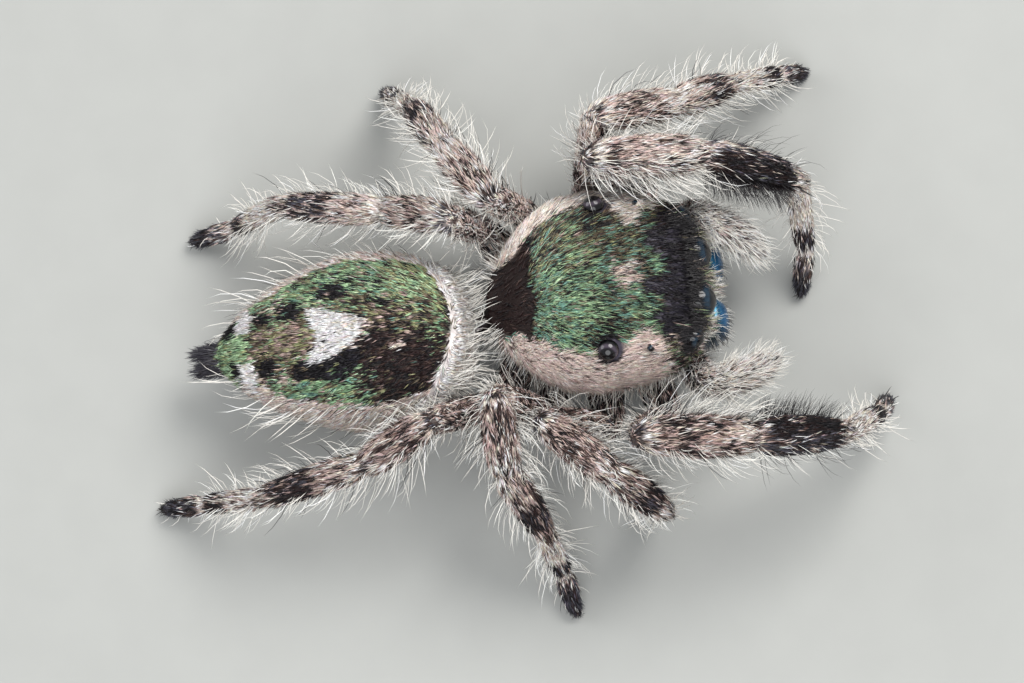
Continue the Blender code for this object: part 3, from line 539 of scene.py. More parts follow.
def abdomen_tones(points):
    """Weights of the scale colours over the abdomen."""
    y, off = points[:, 1], points[:, 0] - ABDOMEN_X
    weights = {name: np.zeros(len(points)) for name in TONE_NAMES}
    angle = round_abdomen(points) + ripple(points, 6.0, 12) * 3.0
    swell = ripple(points, 2.8, 13)
    dapple = ripple(points * (1.0, 0.55, 1.0), 6.5, 14)
    left = soft_step(off, 0.30, 0.75)
    right = soft_step(-off, 0.75, 1.05) * soft_step(y, 4.5, 5.1)
    gold = left * (1 - soft_step(y, 3.7, 4.6))
    # Painted shade: the front half of the abdomen's near (right) side gets maroon, black and brown
    # scales.
    near_side_shade = soft_step(-off, 0.0, 0.4) * (1 - soft_step(y, 4.5, 5.1))
    weights["green"] = np.clip(
        0.25 + 0.75 * left + 1.0 * right + 0.3 * swell - 0.25 * near_side_shade - 0.5 * gold, 0, 3)
    weights["lime"] = np.clip(
        0.08 + 0.75 * left + 0.5 * gold + 0.35 * right + 0.3 * dapple, 0, 3)
    weights["teal"] = np.clip(0.05 + 0.30 * left + 0.25 * right - 0.3 * gold, 0, 3)
    weights["moss"] = 0.25 + 1.7 * gold - 0.1 * near_side_shade
    weights["bronze"] = np.clip(0.55 - 0.1 * near_side_shade - 0.2 * left - 0.2 * right, 0, 3)
    weights["brown"] = np.clip(0.30 + 0.4 * near_side_shade - 0.1 * left, 0, 3)
    weights["black"] = 0.50 + 2.2 * np.clip(dapple - 0.05, 0, 1) + 1.1 * near_side_shade
    weights["maroon"] = 1.6 * near_side_shade
    weights["tan"] = 0.20 + 0.12 * left - 0.1 * near_side_shade
    lay(weights, inside(off, y, DARK_FRONT, 0.16) * 0.9,
        maroon=1.7, black=0.9, brown=0.40, bronze=0.12)
    lay(weights, inside(off, y, BROWN_MIDDLE, 0.07),
        tan=0.9, bronze=0.5, brown=0.25, moss=0.45, green=0.2, black=0.18)
    lay(weights, soft_step(y, 7.10, 7.30), lime=1.2, green=0.8, moss=0.4, black=0.15)
    for outline in BLACK_MARKS:
        lay(weights, inside(off, y, outline, 0.05, 0.05) * 0.97, black=1.0, plum=0.10)
    lay(weights, inside(off, y, CHEVRON_FRONT, 0.12) * 0.8, pink=1.0, tan=0.6, cream=0.4, black=0.2)
    lay(weights, inside(off, y, WHITE_CHEVRON, 0.04), white=1.0, cream=0.12, black=0.03)
    for outline in PALE_MARKS:
        lay(weights, inside(off, y, outline, 0.10) * 0.75, pink=0.9, cream=0.5, tan=0.6)
    band = soft_step(angle, 54, 60) * (1 - soft_step(y, 7.25, 7.5))
    lay(weights, band, pink=1.6, cream=1.2, tan=0.2, white=0.7, brown=0.04, black=0.03)
    lay(weights, band * (1 - soft_step(y, 3.4, 4.4)) * 0.8, pink=0.5, white=1.3, cream=0.4)
    for outline in WHITE_BARS:
        lay(weights, inside(off, y, outline, 0.04), white=1.0, cream=0.1)
    lay(weights, soft_step(angle, 98, 114), pink=1.3, tan=0.8, cream=0.4, brown=0.2, black=0.1)
    lay(weights, soft_step(angle, 128, 142), tan=1.0, pink=0.5, grey=0.7, brown=0.3)
    waist = 1 - soft_step(y - 0.28 * (off - 0.1) ** 2 + 0.04 * dapple, 3.08, 3.17)
    lay(weights, waist, white=1.0, cream=0.2, pink=0.12)
    return weights


# Shares of black, tan, pale and slate along each joint of a leg, from its start to its end
LEG_MARKS = {
    "coxa": ((0.0, 5, 3, 1, 1), (1.0, 5, 3, 2, 1)),
    "femur": (
        (0.0, 5, 3, 1, 1), (0.5, 4, 4, 1, 0), (0.90, 3, 4, 3, 0), (0.95, 2, 2, 6, 0),
        (1.0, 3, 2, 3, 2)),
    "patella": (
        (0.0, 4, 1, 2, 3), (0.02, 5, 1, 1, 3), (0.045, 1, 1, 9, 0), (0.11, 1, 3, 7, 0),
        (0.16, 3.4, 6, 2, 0), (0.42, 5.2, 5, 1, 0), (0.58, 3.6, 6, 2, 0), (0.84, 2.8, 5, 4, 0),
        (0.93, 0.6, 2, 8, 0), (1.0, 3, 2, 4, 0)),
    "tibia": (
        (0.0, 6, 2, 1, 0), (0.05, 1, 2, 7, 0), (0.25, 2.2, 5, 4, 0), (0.44, 3.4, 5, 3, 0),
        (0.55, 5.6, 2.0, 0.3, 2.2), (0.82, 5.6, 2.0, 0.3, 2.2), (0.92, 2, 4, 4, 0),
        (1.0, 4, 3, 4, 0)),
    "front_tibia": (
        (0.0, 1, 1, 7, 0), (0.05, 2, 2, 4, 2), (0.12, 5, 0.9, 1.6, 4), (0.5, 5.6, 0.8, 1.2, 4),
        (0.84, 7, 0.6, 0.6, 3), (0.92, 2, 2, 6, 1), (1.0, 2, 2, 6, 1)),
    "metatarsus": (
        (0.0, 2, 3, 6, 0), (0.12, 0.6, 1.5, 9, 0), (0.56, 0.6, 1.5, 9, 0), (0.68, 5, 1, 2, 3),
        (0.76, 8, 1, 0, 3), (0.93, 8, 1, 0, 3), (0.97, 1, 1, 9, 0), (1.0, 1, 2, 9, 0)),
    "tarsus": (
        (0.0, 1, 2, 9, 0), (0.10, 1, 2, 8, 0), (0.18, 4, 1.5, 2.2, 3), (0.55, 5, 1, 1.5, 4),
        (0.75, 8, 0, 0.3, 3), (1.0, 9, 0, 0, 3)),
}
PALP_MIXES = {
    "palp_root": {"brown": 1.0, "tan": 0.8, "black": 1.6, "white": 0.6},
    "palp_femur": {"pink": 1.0, "cream": 1.2, "white": 1.8, "brown": 0.8, "black": 1.3},
    "palp_tibia": {"white": 1.8, "cream": 1.2, "pink": 1.2, "brown": 0.9, "black": 1.3},
    "palp_tip": {"white": 3.0, "cream": 0.8, "pink": 0.9, "grey": 0.8, "black": 0.3},
}
LIMB_KINDS = ("coxa",) + BONES + PALP_BONES


def limb_tones(points, normals, part):
    """Weights of the scale colours along the legs and palps."""
    along, top, aside, axis, _ = limb_place(points, normals, part)
    weights = {name: np.zeros(len(points)) for name in TONE_NAMES}
    kinds, limbs = kind_of_part[part], limb_of_part[part]
    streak = ripple(points - axis * (dots(points, axis) * 0.65)[:, None], 11.0, 21)
    kinds = np.where((kinds == "tibia") & np.char.endswith(limbs, "_1"), "front_tibia", kinds)
    for bone, rows in LEG_MARKS.items():
        here = kinds == bone
        if not here.any():
            continue
        rows = np.array(rows, float)
        black, tan, pale, slate = (np.interp(along[here], rows[:, 0], rows[:, k])
                                   for k in (1, 2, 3, 4))
        # Painted shade: the right legs, on the near side, get more black, browner tan and fewer
        # pale scales. The same flag mirrors their inner side.
        right_legs_shaded = np.char.startswith(limbs[here], "right")
        black, pale = black * np.where(right_legs_shaded, 1.45, 1.1), pale * np.where(right_legs_shaded, 0.60, 0.95)
        # Painted shade: the scales on the underside of each leg joint turn black, maroon and brown.
        shade = soft_step(-top[here], 0.0, 0.7)
        dashes = np.clip(0.75 + 1.5 * streak[here], 0.10, 3.0)
        solid = soft_step(black, 5.2, 8.0)
        if bone == "front_tibia":
            inner = aside[here] * np.where(right_legs_shaded, -1, 1)
            solid = np.maximum(solid, soft_step(inner, -0.5, 0.0))
            solid = solid * soft_step(along[here], 0.06, 0.14)
            inner_side, before_end = soft_step(inner, -0.6, -0.1), 0.96 - along[here]
            black = black + 14 * solid * inner_side * soft_step(before_end, 0.0, 0.06)
            black = black * (1 - 0.5 * soft_step(-inner, 0.0, 0.5))
        streaks = black * dashes * (1 - solid)
        weights["black"][here] = 0.55 * streaks + black * solid + 1.0 * shade
        weights["maroon"][here] = 0.30 * streaks + 0.6 * black * solid + 0.4 * shade
        weights["tan"][here] = tan * np.where(right_legs_shaded, 1.10, 0.45)
        weights["pink"][here] = tan * np.where(right_legs_shaded, 0.40, 0.90)
        weights["cream"][here] = pale * 0.7
        weights["white"][here] = pale * 0.6
        weights["grey"][here] = slate
        weights["brown"][here] = (0.2 + 1.0 * shade + 0.34 * streaks
                                  + tan * np.where(right_legs_shaded, 0.30, 0.0))
    for kind, mix in PALP_MIXES.items():
        for name, amount in mix.items():
            weights[name][kinds == kind] = amount
    return weights


def body_weights(points, normals, part):
    """Weights of all the scale colours at places anywhere on the body, and how bare they are."""
    kinds = kind_of_part[part]
    head = (kinds == "carapace") | (kinds == "eye_mound")
    egg = kinds == "abdomen"
    limb = np.isin(kinds, LIMB_KINDS)
    weights, bare = np.zeros((len(points), len(TONE_NAMES))), np.zeros(len(points))
    on_head, bare[head] = carapace_tones(points[head])
    on_limb = limb_tones(points[limb], normals[limb], part[limb])
    for here, found in ((head, on_head), (egg, abdomen_tones(points[egg])), (limb, on_limb)):
        weights[here] = np.stack([found[name] for name in TONE_NAMES], 1)
    rest = ~(head | egg | limb)
    weights[rest, TONE_NAMES.index("black")] = 1.0
    weights[rest, TONE_NAMES.index("brown")] = 0.3
    return np.clip(weights, 0, None), bare


def paint(mesh, colours):
    """Give every vertex of a mesh its colour, opaque unless a fourth value comes with it."""
    if colours.shape[1] == 3:
        colours = np.concatenate([colours, np.ones((len(colours), 1))], 1)
    tint = mesh.attributes.new("tint", "FLOAT_COLOR", "POINT")
    tint.data.foreach_set("color", colours.astype(np.float32).ravel())


weights, skin_bare = body_weights(skin_points, skin_normals, skin_part)
share = weights / weights.sum(1, keepdims=True)
pale_share = sum(amount * share[:, TONE_NAMES.index(name)]
                 for name, amount in (("white", 1.0), ("cream", 0.6), ("pink", 0.5)))
pale_share = pale_share[:, None]
# Painted shade: the skin takes the colour of the coat above it, darkened where that coat is dark,
# so the gaps between the scales read as shaded. Under pale coat it is darkened less.
skin_tint = ((share @ TONE_TABLE) * (0.30 + 0.55 * pale_share)
             + tone(34, 26, 26) * 0.36 * (1 - pale_share))
bare_tint = np.where(skin_points[:, 1:2] < 0, tone(68, 64, 76), tone(30, 15, 14))
skin_tint = skin_tint * (1 - skin_bare[:, None]) + bare_tint * skin_bare[:, None]
paint(skin_mesh, skin_tint)


def new_material(name, roughness, metallic=0.0):
    """A material with its shader, ready for colour and bump nodes."""
    material = bpy.data.materials.new(name)
    material.use_nodes = True
    shader = material.node_tree.nodes["Principled BSDF"]
    shader.inputs["Roughness"].default_value = roughness
    shader.inputs["Metallic"].default_value = metallic
    return material, material.node_tree, shader


def add_node(tree, kind, **settings):
    """A node with its settings and the values of its inputs."""
    node = tree.nodes.new(kind)
    for key, value in settings.items():
        if key in node.inputs:
            node.inputs[key].default_value = value
        else:
            setattr(node, key, value)
    return node


def mottled(tree, shader, colour, scale, low, strength):
    """Multiply a colour by soft noise in the object's own space and feed it to the shader."""
    place = add_node(tree, "ShaderNodeTexCoord")
    noise = add_node(tree, "ShaderNodeTexNoise", Scale=scale, Detail=4.0)
    levels = add_node(tree, "ShaderNodeValToRGB")
    dark_end, light_end = levels.color_ramp.elements
    dark_end.position, light_end.position = 0.34, 0.64
    dark_end.color = (*low, 1)
    blend = add_node(tree, "ShaderNodeMix", data_type="RGBA", blend_type="MULTIPLY")
    blend.inputs["Factor"].default_value = strength
    tree.links.new(place.outputs["Object"], noise.inputs["Vector"])
    tree.links.new(noise.outputs["Fac"], levels.inputs["Fac"])
    tree.links.new(colour, blend.inputs[6])
    tree.links.new(levels.outputs["Color"], blend.inputs[7])
    tree.links.new(blend.outputs[2], shader.inputs["Base Color"])
    return place, noise


def tinted(name, roughness, scale, low, strength, metallic=0.0):
    """A mottled material coloured by the tint of the mesh, and the outputs of its nodes."""
    material, tree, shader = new_material(name, roughness, metallic)
    colour = add_node(tree, "ShaderNodeAttribute", attribute_name="tint")
    place, noise = mottled(tree, shader, colour.outputs["Color"], scale, low, strength)
    outputs = {"alpha": colour.outputs["Alpha"], "place": place.outputs["Object"],
               "noise": noise.outputs["Fac"]}
    return material, tree, shader, outputs


def add_bump(tree, shader, height, strength):
    """Raise and lower a surface a little by a height."""
    bump = add_node(tree, "ShaderNodeBump", Strength=strength, Distance=0.00002)
    tree.links.new(height, bump.inputs["Height"])
    tree.links.new(bump.outputs["Normal"], shader.inputs["Normal"])


def add_object(mesh):
    """Put a mesh into the scene, at the origin."""
    piece = bpy.data.objects.new(mesh.name, mesh)
    bpy.context.scene.collection.objects.link(piece)
    return piece


material, tree, shader, outputs = tinted("cuticle", 0.46, 9000.0, (0.45, 0.42, 0.45), 0.6)
shader.inputs["Specular IOR Level"].default_value = 0.25
stretch = add_node(tree, "ShaderNodeMapping")
stretch.inputs["Scale"].default_value = (1.0, 0.35, 1.0)
wrinkle = add_node(tree, "ShaderNodeTexNoise", Scale=26000.0, Detail=3.0)
tree.links.new(outputs["place"], stretch.inputs["Vector"])
tree.links.new(stretch.outputs["Vector"], wrinkle.inputs["Vector"])
add_bump(tree, shader, wrinkle.outputs["Fac"], 0.5)
skin_mesh.materials.clear()
skin_mesh.materials.append(material)
skin_mesh.vertices.foreach_set("co", ((skin_points + STAND_AT) * MM).ravel())
skin_mesh.shade_smooth()
skin_mesh.update()
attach(skin, "root")
flesh = [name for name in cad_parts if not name.startswith(("eye_", "chelicera_"))]
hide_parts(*flesh)

# THE SHORT COAT
# Flat scale-like hairs that cover the cuticle, each a thin keeled blade rooted in the skin and
# laid along the body. Their colours, mixed scale by scale, make the spider's markings.

ROOT_DEPTH = 0.012
SCALE = ((0.0, 0.0), (0.42, 1.0), (1.0, 0.0))
HEAD_SCALES, ABDOMEN_SCALES, LEG_SCALES, PALP_SCALES = 82000, 39500, 12300, 6400
LIMBS = sorted(set(limb_of_part) - {"body"})


def skin_roots(wanted, count, seed):
    """Random places on the skin of the wanted parts: place, normal, part and the draw used."""
    draw = np.random.default_rng(seed)
    mine = np.flatnonzero(wanted[skin_part[skin_triangles[:, 0]]])
    ladder = np.cumsum(triangle_area[mine])
    picked = mine[np.searchsorted(ladder, draw.uniform(0, ladder[-1], count))]
    a, b = draw.uniform(size=(2, count))
    flip = a + b > 1
    a[flip], b[flip] = 1 - a[flip], 1 - b[flip]
    mix = np.stack([1 - a - b, a, b], 1)[:, :, None]
    corners = skin_triangles[picked]
    points = (skin_points[corners] * mix).sum(1)
    normals = unit((skin_normals[corners] * mix).sum(1))
    return points, normals, skin_part[corners[:, 0]], draw


def chosen(keep, *arrays):
    """The wanted rows of each array."""
    return [array[keep] for array in arrays]


def clear_of_eyes(points, room=1.12):
    """Which places lie outside all eight lenses."""
    clear = np.ones(len(points), bool)
    for spot, _, girth in EYES.values():
        reach = girth * (room if girth > 0.1 else 1.0)
        for side in (1, -1):
            clear &= np.linalg.norm(points - np.array(spot) * (side, 1, 1), axis=1) > reach
    return clear


def tufts(roots, axis, draw, size):
    """Which small tuft each hair belongs to, tufts being drawn out along the lie of the coat."""
    drawn = roots - axis * (dots(roots, axis) * 0.60)[:, None]
    centres = draw.choice(len(roots), max(1, int(len(roots) / size)), replace=False)
    tree = KDTree(len(centres))
    for i, centre in enumerate(centres):
        tree.insert(drawn[centre], i)
    tree.balance()
    return np.array([tree.find(point)[1] for point in drawn])


def pick_tones(weights, draw, tuft):
    """Draw a colour for each hair, mostly shared within a tuft, with a little variation."""
    count = len(tuft)
    shared = draw.uniform(size=tuft.max() + 1)[tuft]
    own = draw.uniform(size=count)
    u = np.where(draw.uniform(size=count) < 0.60, shared, own)
    ladder = np.cumsum(weights, 1)
    pick = np.minimum((u[:, None] * ladder[:, -1:] > ladder).sum(1), len(TONE_NAMES) - 1)
    light, hue = draw.normal(0, 0.23, count), draw.normal(0, 0.04, (count, 3))
    vary = np.exp(light)[:, None] * np.exp(hue)
    return np.clip(TONE_TABLE[pick] * vary, 0, 0.95), GLEAM_TABLE[pick]


TILES = {name: i for i, name in enumerate(sorted({p["limb"] + p["kind"] for p in shell_parts}))}
PART_TILE = np.array([TILES[part["limb"] + part["kind"]] for part in shell_parts])


def coat_chart(points, normals, part):
    """Place of each root on a flat chart of the skin: body unrolled, limbs as sleeves."""
    kinds = kind_of_part[part]
    chart = np.zeros((len(points), 2))
    across = np.arctan2(normals[:, 0], normals[:, 2]) / (2 * np.pi) + 0.5
    for kind, low, high, corner in (("carapace", HEAD_FRONT, HEAD_REAR, 0.0),
                                    ("eye_mound", HEAD_FRONT, HEAD_REAR, 0.0),
                                    ("abdomen", ABDOMEN_FRONT, ABDOMEN_REAR, 0.5)):
        here = kinds == kind
        chart[here, 0] = 0.01 + 0.47 * across[here]
        run = np.clip((points[here, 1] - low) / (high - low), 0, 1)
        chart[here, 1] = corner + 0.01 + 0.47 * run
    limb = ~np.isin(kinds, ("carapace", "eye_mound", "abdomen"))
    along, top, aside, _, _ = limb_place(points[limb], normals[limb], part[limb])
    tile = PART_TILE[part[limb]]
    sleeve = np.arctan2(top, aside) / (2 * np.pi) + 0.5
    chart[limb, 0] = 0.5 + (tile % 8) / 16 + 0.003 + 0.054 * sleeve
    chart[limb, 1] = (tile // 8) / 8 + 0.003 + 0.116 * np.clip(along, 0, 1)
    return chart


def lay_chart(mesh, each, roots, normals, part):
    """Give every hair a small patch of its own at its root's place on the chart of the skin."""
    patch = np.random.default_rng(1).uniform(0, 0.003, (each, 2))
    spread = (coat_chart(roots, normals, part)[:, None, :] + patch[None, :, :]).reshape(-1, 2)
    corner = np.empty(len(mesh.loops), np.int32)
    mesh.loops.foreach_get("vertex_index", corner)
    chart = mesh.uv_layers.new(name="OFBake")
    chart.data.foreach_set("uv", spread[corner].astype(np.float32).ravel())


def blade_faces(stations):
    """Triangles of one three-sided blade with a ring or a point at each station."""
    faces = []
    at = 0
    for (_, girth), (_, next_girth) in zip(stations, stations[1:]):
        above = at + (3 if girth else 1)
        for i in range(3):
            j = (i + 1) % 3
            if girth == 0:
                faces.append((at, above + j, above + i))
            elif next_girth == 0:
                faces.append((at + i, at + j, above))
            else:
                faces += [(at + i, at + j, above + i), (at + j, above + j, above + i)]
        at = above
    if stations[0][1]:
        faces.append((0, 2, 1))
    return np.array(faces)


def grow(name, coat, lies, shape, tint, gleam, stations, material):
    """Make many hairs as one mesh: each a three-sided blade bent from its root along its lie."""
    roots, normals, part = coat
    length, width, lift, bend, sway = (np.broadcast_to(value, len(roots)) for value in shape)
    lies = unit(lies - normals * dots(lies, normals)[:, None])
    across = np.cross(normals, lies)
    spots = [roots - normals * ROOT_DEPTH]
    ways = []
    for (low, _), (high, _) in zip(stations, stations[1:]):
        up = lift + bend * (low + high) / 2
        turn = sway * (low + high) / 2
        flat = lies * np.cos(turn)[:, None] + across * np.sin(turn)[:, None]
        ways.append(flat * np.cos(up)[:, None] + normals * np.sin(up)[:, None])
        spots.append(spots[-1] + ways[-1] * (length * (high - low))[:, None])
    ways.append(ways[-1])
    blocks, shade = [], []
    for (t, girth), spot, way in zip(stations, spots, ways):
        if girth == 0:
            blocks.append(spot[:, None, :])
        else:
            wide = unit(np.cross(way, normals)) * (width * girth / 2)[:, None]
            keel = unit(np.cross(wide, way)) * (width * girth * 0.42)[:, None]
            sunk = keel * 0.35
            blocks.append(np.stack([spot + wide - sunk, spot + keel, spot - wide - sunk], 1))
        shade += [0.50 + 0.62 * t] * (3 if girth else 1)
    points = np.concatenate(blocks, 1)
    above_floor = points[:, :, 2].min(1) > LOWEST_SKIN_Z
    points, tint, gleam, roots, normals, part = chosen(
        above_floor, points, tint, gleam, roots, normals, part)
    count, each = points.shape[:2]
    faces = blade_faces(stations)
    first = points[0] - points[0].mean(0)
    if sum(np.dot(first[a], np.cross(first[b], first[c])) for a, b, c in faces) < 0:
        faces = faces[:, ::-1]
    corners = (faces[None, :, :] + (np.arange(count) * each)[:, None, None]).reshape(-1)
    mesh = bpy.data.meshes.new(name)
    mesh.vertices.add(count * each)
    places = (points.reshape(-1, 3) + STAND_AT) * MM
    mesh.vertices.foreach_set("co", places.ravel().astype(np.float32))
    mesh.loops.add(len(corners))
    mesh.loops.foreach_set("vertex_index", corners.astype(np.int32))
    mesh.polygons.add(len(corners) // 3)
    loop_starts = np.arange(len(corners) // 3) * 3
    mesh.polygons.foreach_set("loop_start", loop_starts.astype(np.int32))
    mesh.update(calc_edges=True)
    # Painted shade and light: each hair's colour is darkened towards its root, where the coat
    # shades itself, and lightened a little past its own colour at the tip. Pale hairs are darkened
    # less.
    shade = np.array(shade)[None, :, None]
    paleness = tint.mean(1)[:, None, None]
    root_shaded_tint = tint[:, None, :] * (shade + (1 - shade) * paleness * 0.7)
    paint(mesh, np.concatenate([root_shaded_tint.reshape(-1, 3), np.repeat(gleam, each)[:, None]], 1))
    lay_chart(mesh, each, roots, normals, part)
    mesh.materials.append(material)
    piece = add_object(mesh)
    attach(piece, "root")
    print(name, count, "hairs", len(corners) // 3, "triangles")


scale_finish, tree, shader, outputs = tinted("scales", 0.42, 14000.0, (0.62, 0.62, 0.64), 0.5)
shader.inputs["Specular IOR Level"].default_value = 0.32
tree.links.new(outputs["alpha"], shader.inputs["Metallic"])


def ruffled(lies, draw, tuft, by_tuft, by_hair):
    """Lies of hairs, each tuft and each hair in it turned a little its own way."""
    together = draw.normal(0, by_tuft, (tuft.max() + 1, 3))[tuft]
    return lies + together + draw.normal(0, by_hair, lies.shape)


# Carapace: green and bronze scales on the eye field, pink tan fur on the cheeks and sides
ON_HEAD = np.isin(kind_of_part, ("carapace", "eye_mound"))
roots, normals, part, draw = skin_roots(ON_HEAD, HEAD_SCALES, 31)
x, y, z = roots.T
cheek = soft_step(np.abs(x) - np.interp(y, CHEEK_EDGE[:, 0], CHEEK_EDGE[:, 1]), -0.06, 0.06)
low = soft_step(2.15 - z, 0.0, 0.5)
lies = np.stack([
    x * 0.20 * (1 - cheek) + cheek * np.sign(x) * (0.05 + 0.4 * low),
    -1.0 + 0.75 * low * cheek,
    cheek * (0.28 - 1.2 * low) - 0.3 * soft_step(-y, 1.7, 2.0),
], 1)
weights, bare = body_weights(roots + unit(lies) * 0.10, normals, part)
keep = clear_of_eyes(roots, 1.2) & (draw.uniform(size=len(roots)) > bare)
keep &= (z > 1.3) | (draw.uniform(size=len(roots)) < 0.4)
roots, normals, part, weights, lies, cheek = chosen(
    keep, roots, normals, part, weights, lies, cheek)
tuft = tufts(roots, np.tile((0.0, 1.0, 0.0), (len(roots), 1)), draw, 9)
tint, gleam = pick_tones(weights, draw, tuft)
lies = ruffled(lies, draw, tuft, 0.16, 0.06)
for name, mine in (("coat_carapace", cheek < 0.5), ("coat_cheeks", cheek >= 0.5)):
    count, fine = mine.sum(), cheek[mine]
    shape = (
        0.27 + draw.uniform(-0.06, 0.07, count),
        0.0225 - 0.001 * fine + draw.uniform(-0.004, 0.005, count),
        np.radians(draw.uniform(10, 22, count) + 4 * fine),
        np.radians(draw.uniform(-24, -2, count)),
        draw.normal(0, 0.20, count),
    )
    grow(name, chosen(mine, roots, normals, part), lies[mine], shape, tint[mine], gleam[mine],
         SCALE, scale_finish)

# Abdomen: scales laid towards the rear, paler and finer fur on its sides
roots, normals, part, draw = skin_roots(kind_of_part == "abdomen", ABDOMEN_SCALES, 37)
keep = (roots[:, 2] > 1.1) | (draw.uniform(size=len(roots)) < 0.5)
roots, normals, part = chosen(keep, roots, normals, part)
y, off = roots[:, 1], roots[:, 0] - ABDOMEN_X
flank = soft_step(round_abdomen(roots), 50, 70)
base = 1 - soft_step(y - 0.26 * (off - 0.1) ** 2, 2.98, 3.1)
spread_out = off * 0.22 * (1 - soft_step(y, 5.5, 7.0))
lies = np.stack([spread_out, 1.0 - base * 2.0, -0.30 * flank], 1)
weights = body_weights(roots + unit(lies) * 0.10, normals, part)[0]
tuft = tufts(roots, np.tile((0.0, 1.0, 0.0), (len(roots), 1)), draw, 8)
tint, gleam = pick_tones(weights, draw, tuft)
lies = ruffled(lies, draw, tuft, 0.15, 0.06)
count = len(roots)
shape = (
    0.21 + 0.03 * flank + draw.uniform(-0.04, 0.06, count),
    0.030 - 0.004 * flank + draw.uniform(-0.004, 0.005, count),
    np.radians(draw.uniform(10, 20, count) + 8 * flank + 14 * base),
    np.radians(draw.uniform(-18, 0, count)),
    draw.normal(0, 0.18, count),
)
grow("coat_abdomen", (roots, normals, part), lies, shape, tint, gleam, SCALE,
     scale_finish)

# Legs and palps: scales laid towards the tip of each limb, drawing together along its top
for index, limb in enumerate(LIMBS):
    palp = limb.startswith("palp")
    roots, normals, part, draw = skin_roots(
        limb_of_part == limb, PALP_SCALES if palp else LEG_SCALES, 41 + index)
    roots, normals, part = chosen(roots[:, 2] > 0.06, roots, normals, part)
    along, top, aside, axis, side = limb_place(roots, normals, part)
    weights = body_weights(roots + axis * 0.08, normals, part)[0]
    tuft = tufts(roots, axis, draw, 5)
    tint, gleam = pick_tones(weights, draw, tuft)
    lies = ruffled(axis - side * (0.42 * aside * (top > 0))[:, None], draw, tuft, 0.11, 0.05)
    count, kinds = len(roots), kind_of_part[part]
    slim = np.isin(kinds, ("metatarsus", "tarsus")) * 1.0
    slim += ((kinds == "femur") & (along > 0.88)) * 2.0
    fluffy = np.char.startswith(kinds, "palp")
    shape = (
        0.26 - 0.05 * slim + 0.04 * fluffy + draw.uniform(-0.05, 0.06, count),
        0.0245 - 0.001 * (slim == 1) - 0.004 * fluffy + draw.uniform(-0.004, 0.005, count),
        np.radians(draw.uniform(10, 20, count) + 14 * fluffy),
        np.radians(draw.uniform(-18, 0, count)),
        draw.normal(0, 0.2, count),
    )
    grow("coat_" + limb, (roots, normals, part), lies, shape, tint, gleam, SCALE,
         scale_finish)

# THE LONG BRISTLES
# Long soft white hairs and stiffer black ones that stand out from legs, palps and body,
# rooted singly in the cuticle and curving over towards the tip of each limb.

BRISTLE = ((0.0, 1.0), (0.36, 0.88), (0.72, 0.60), (1.0, 0.0))
PALE_HAIR, DARK_HAIR = tone(240, 236, 229), tone(30, 26, 30)
# Places on the skin tried for a bristle, of which only some get one
LEG_TRIES, PALP_TRIES, ABDOMEN_TRIES, HEAD_TRIES = 9000, 5200, 20000, 60000
bristle_finish = tinted("bristles", 0.36, 6000.0, (0.75, 0.74, 0.72), 0.4)[0]


def bristles(name, coat, lies, lengths, widths, lifts, bends, dark, draw, pale=PALE_HAIR):
    """Grow long bristles, pale ones and dark ones, with lifts and bends in degrees."""
    count = len(lengths)
    tint = np.where(dark[:, None], DARK_HAIR, pale) * np.exp(draw.normal(0, 0.12, count))[:, None]
    shape = (lengths, widths, np.radians(lifts), np.radians(bends), draw.normal(0, 0.30, count))
    grow(name, coat, lies, shape, np.clip(tint, 0, 0.92), np.zeros(count), BRISTLE,
         bristle_finish)


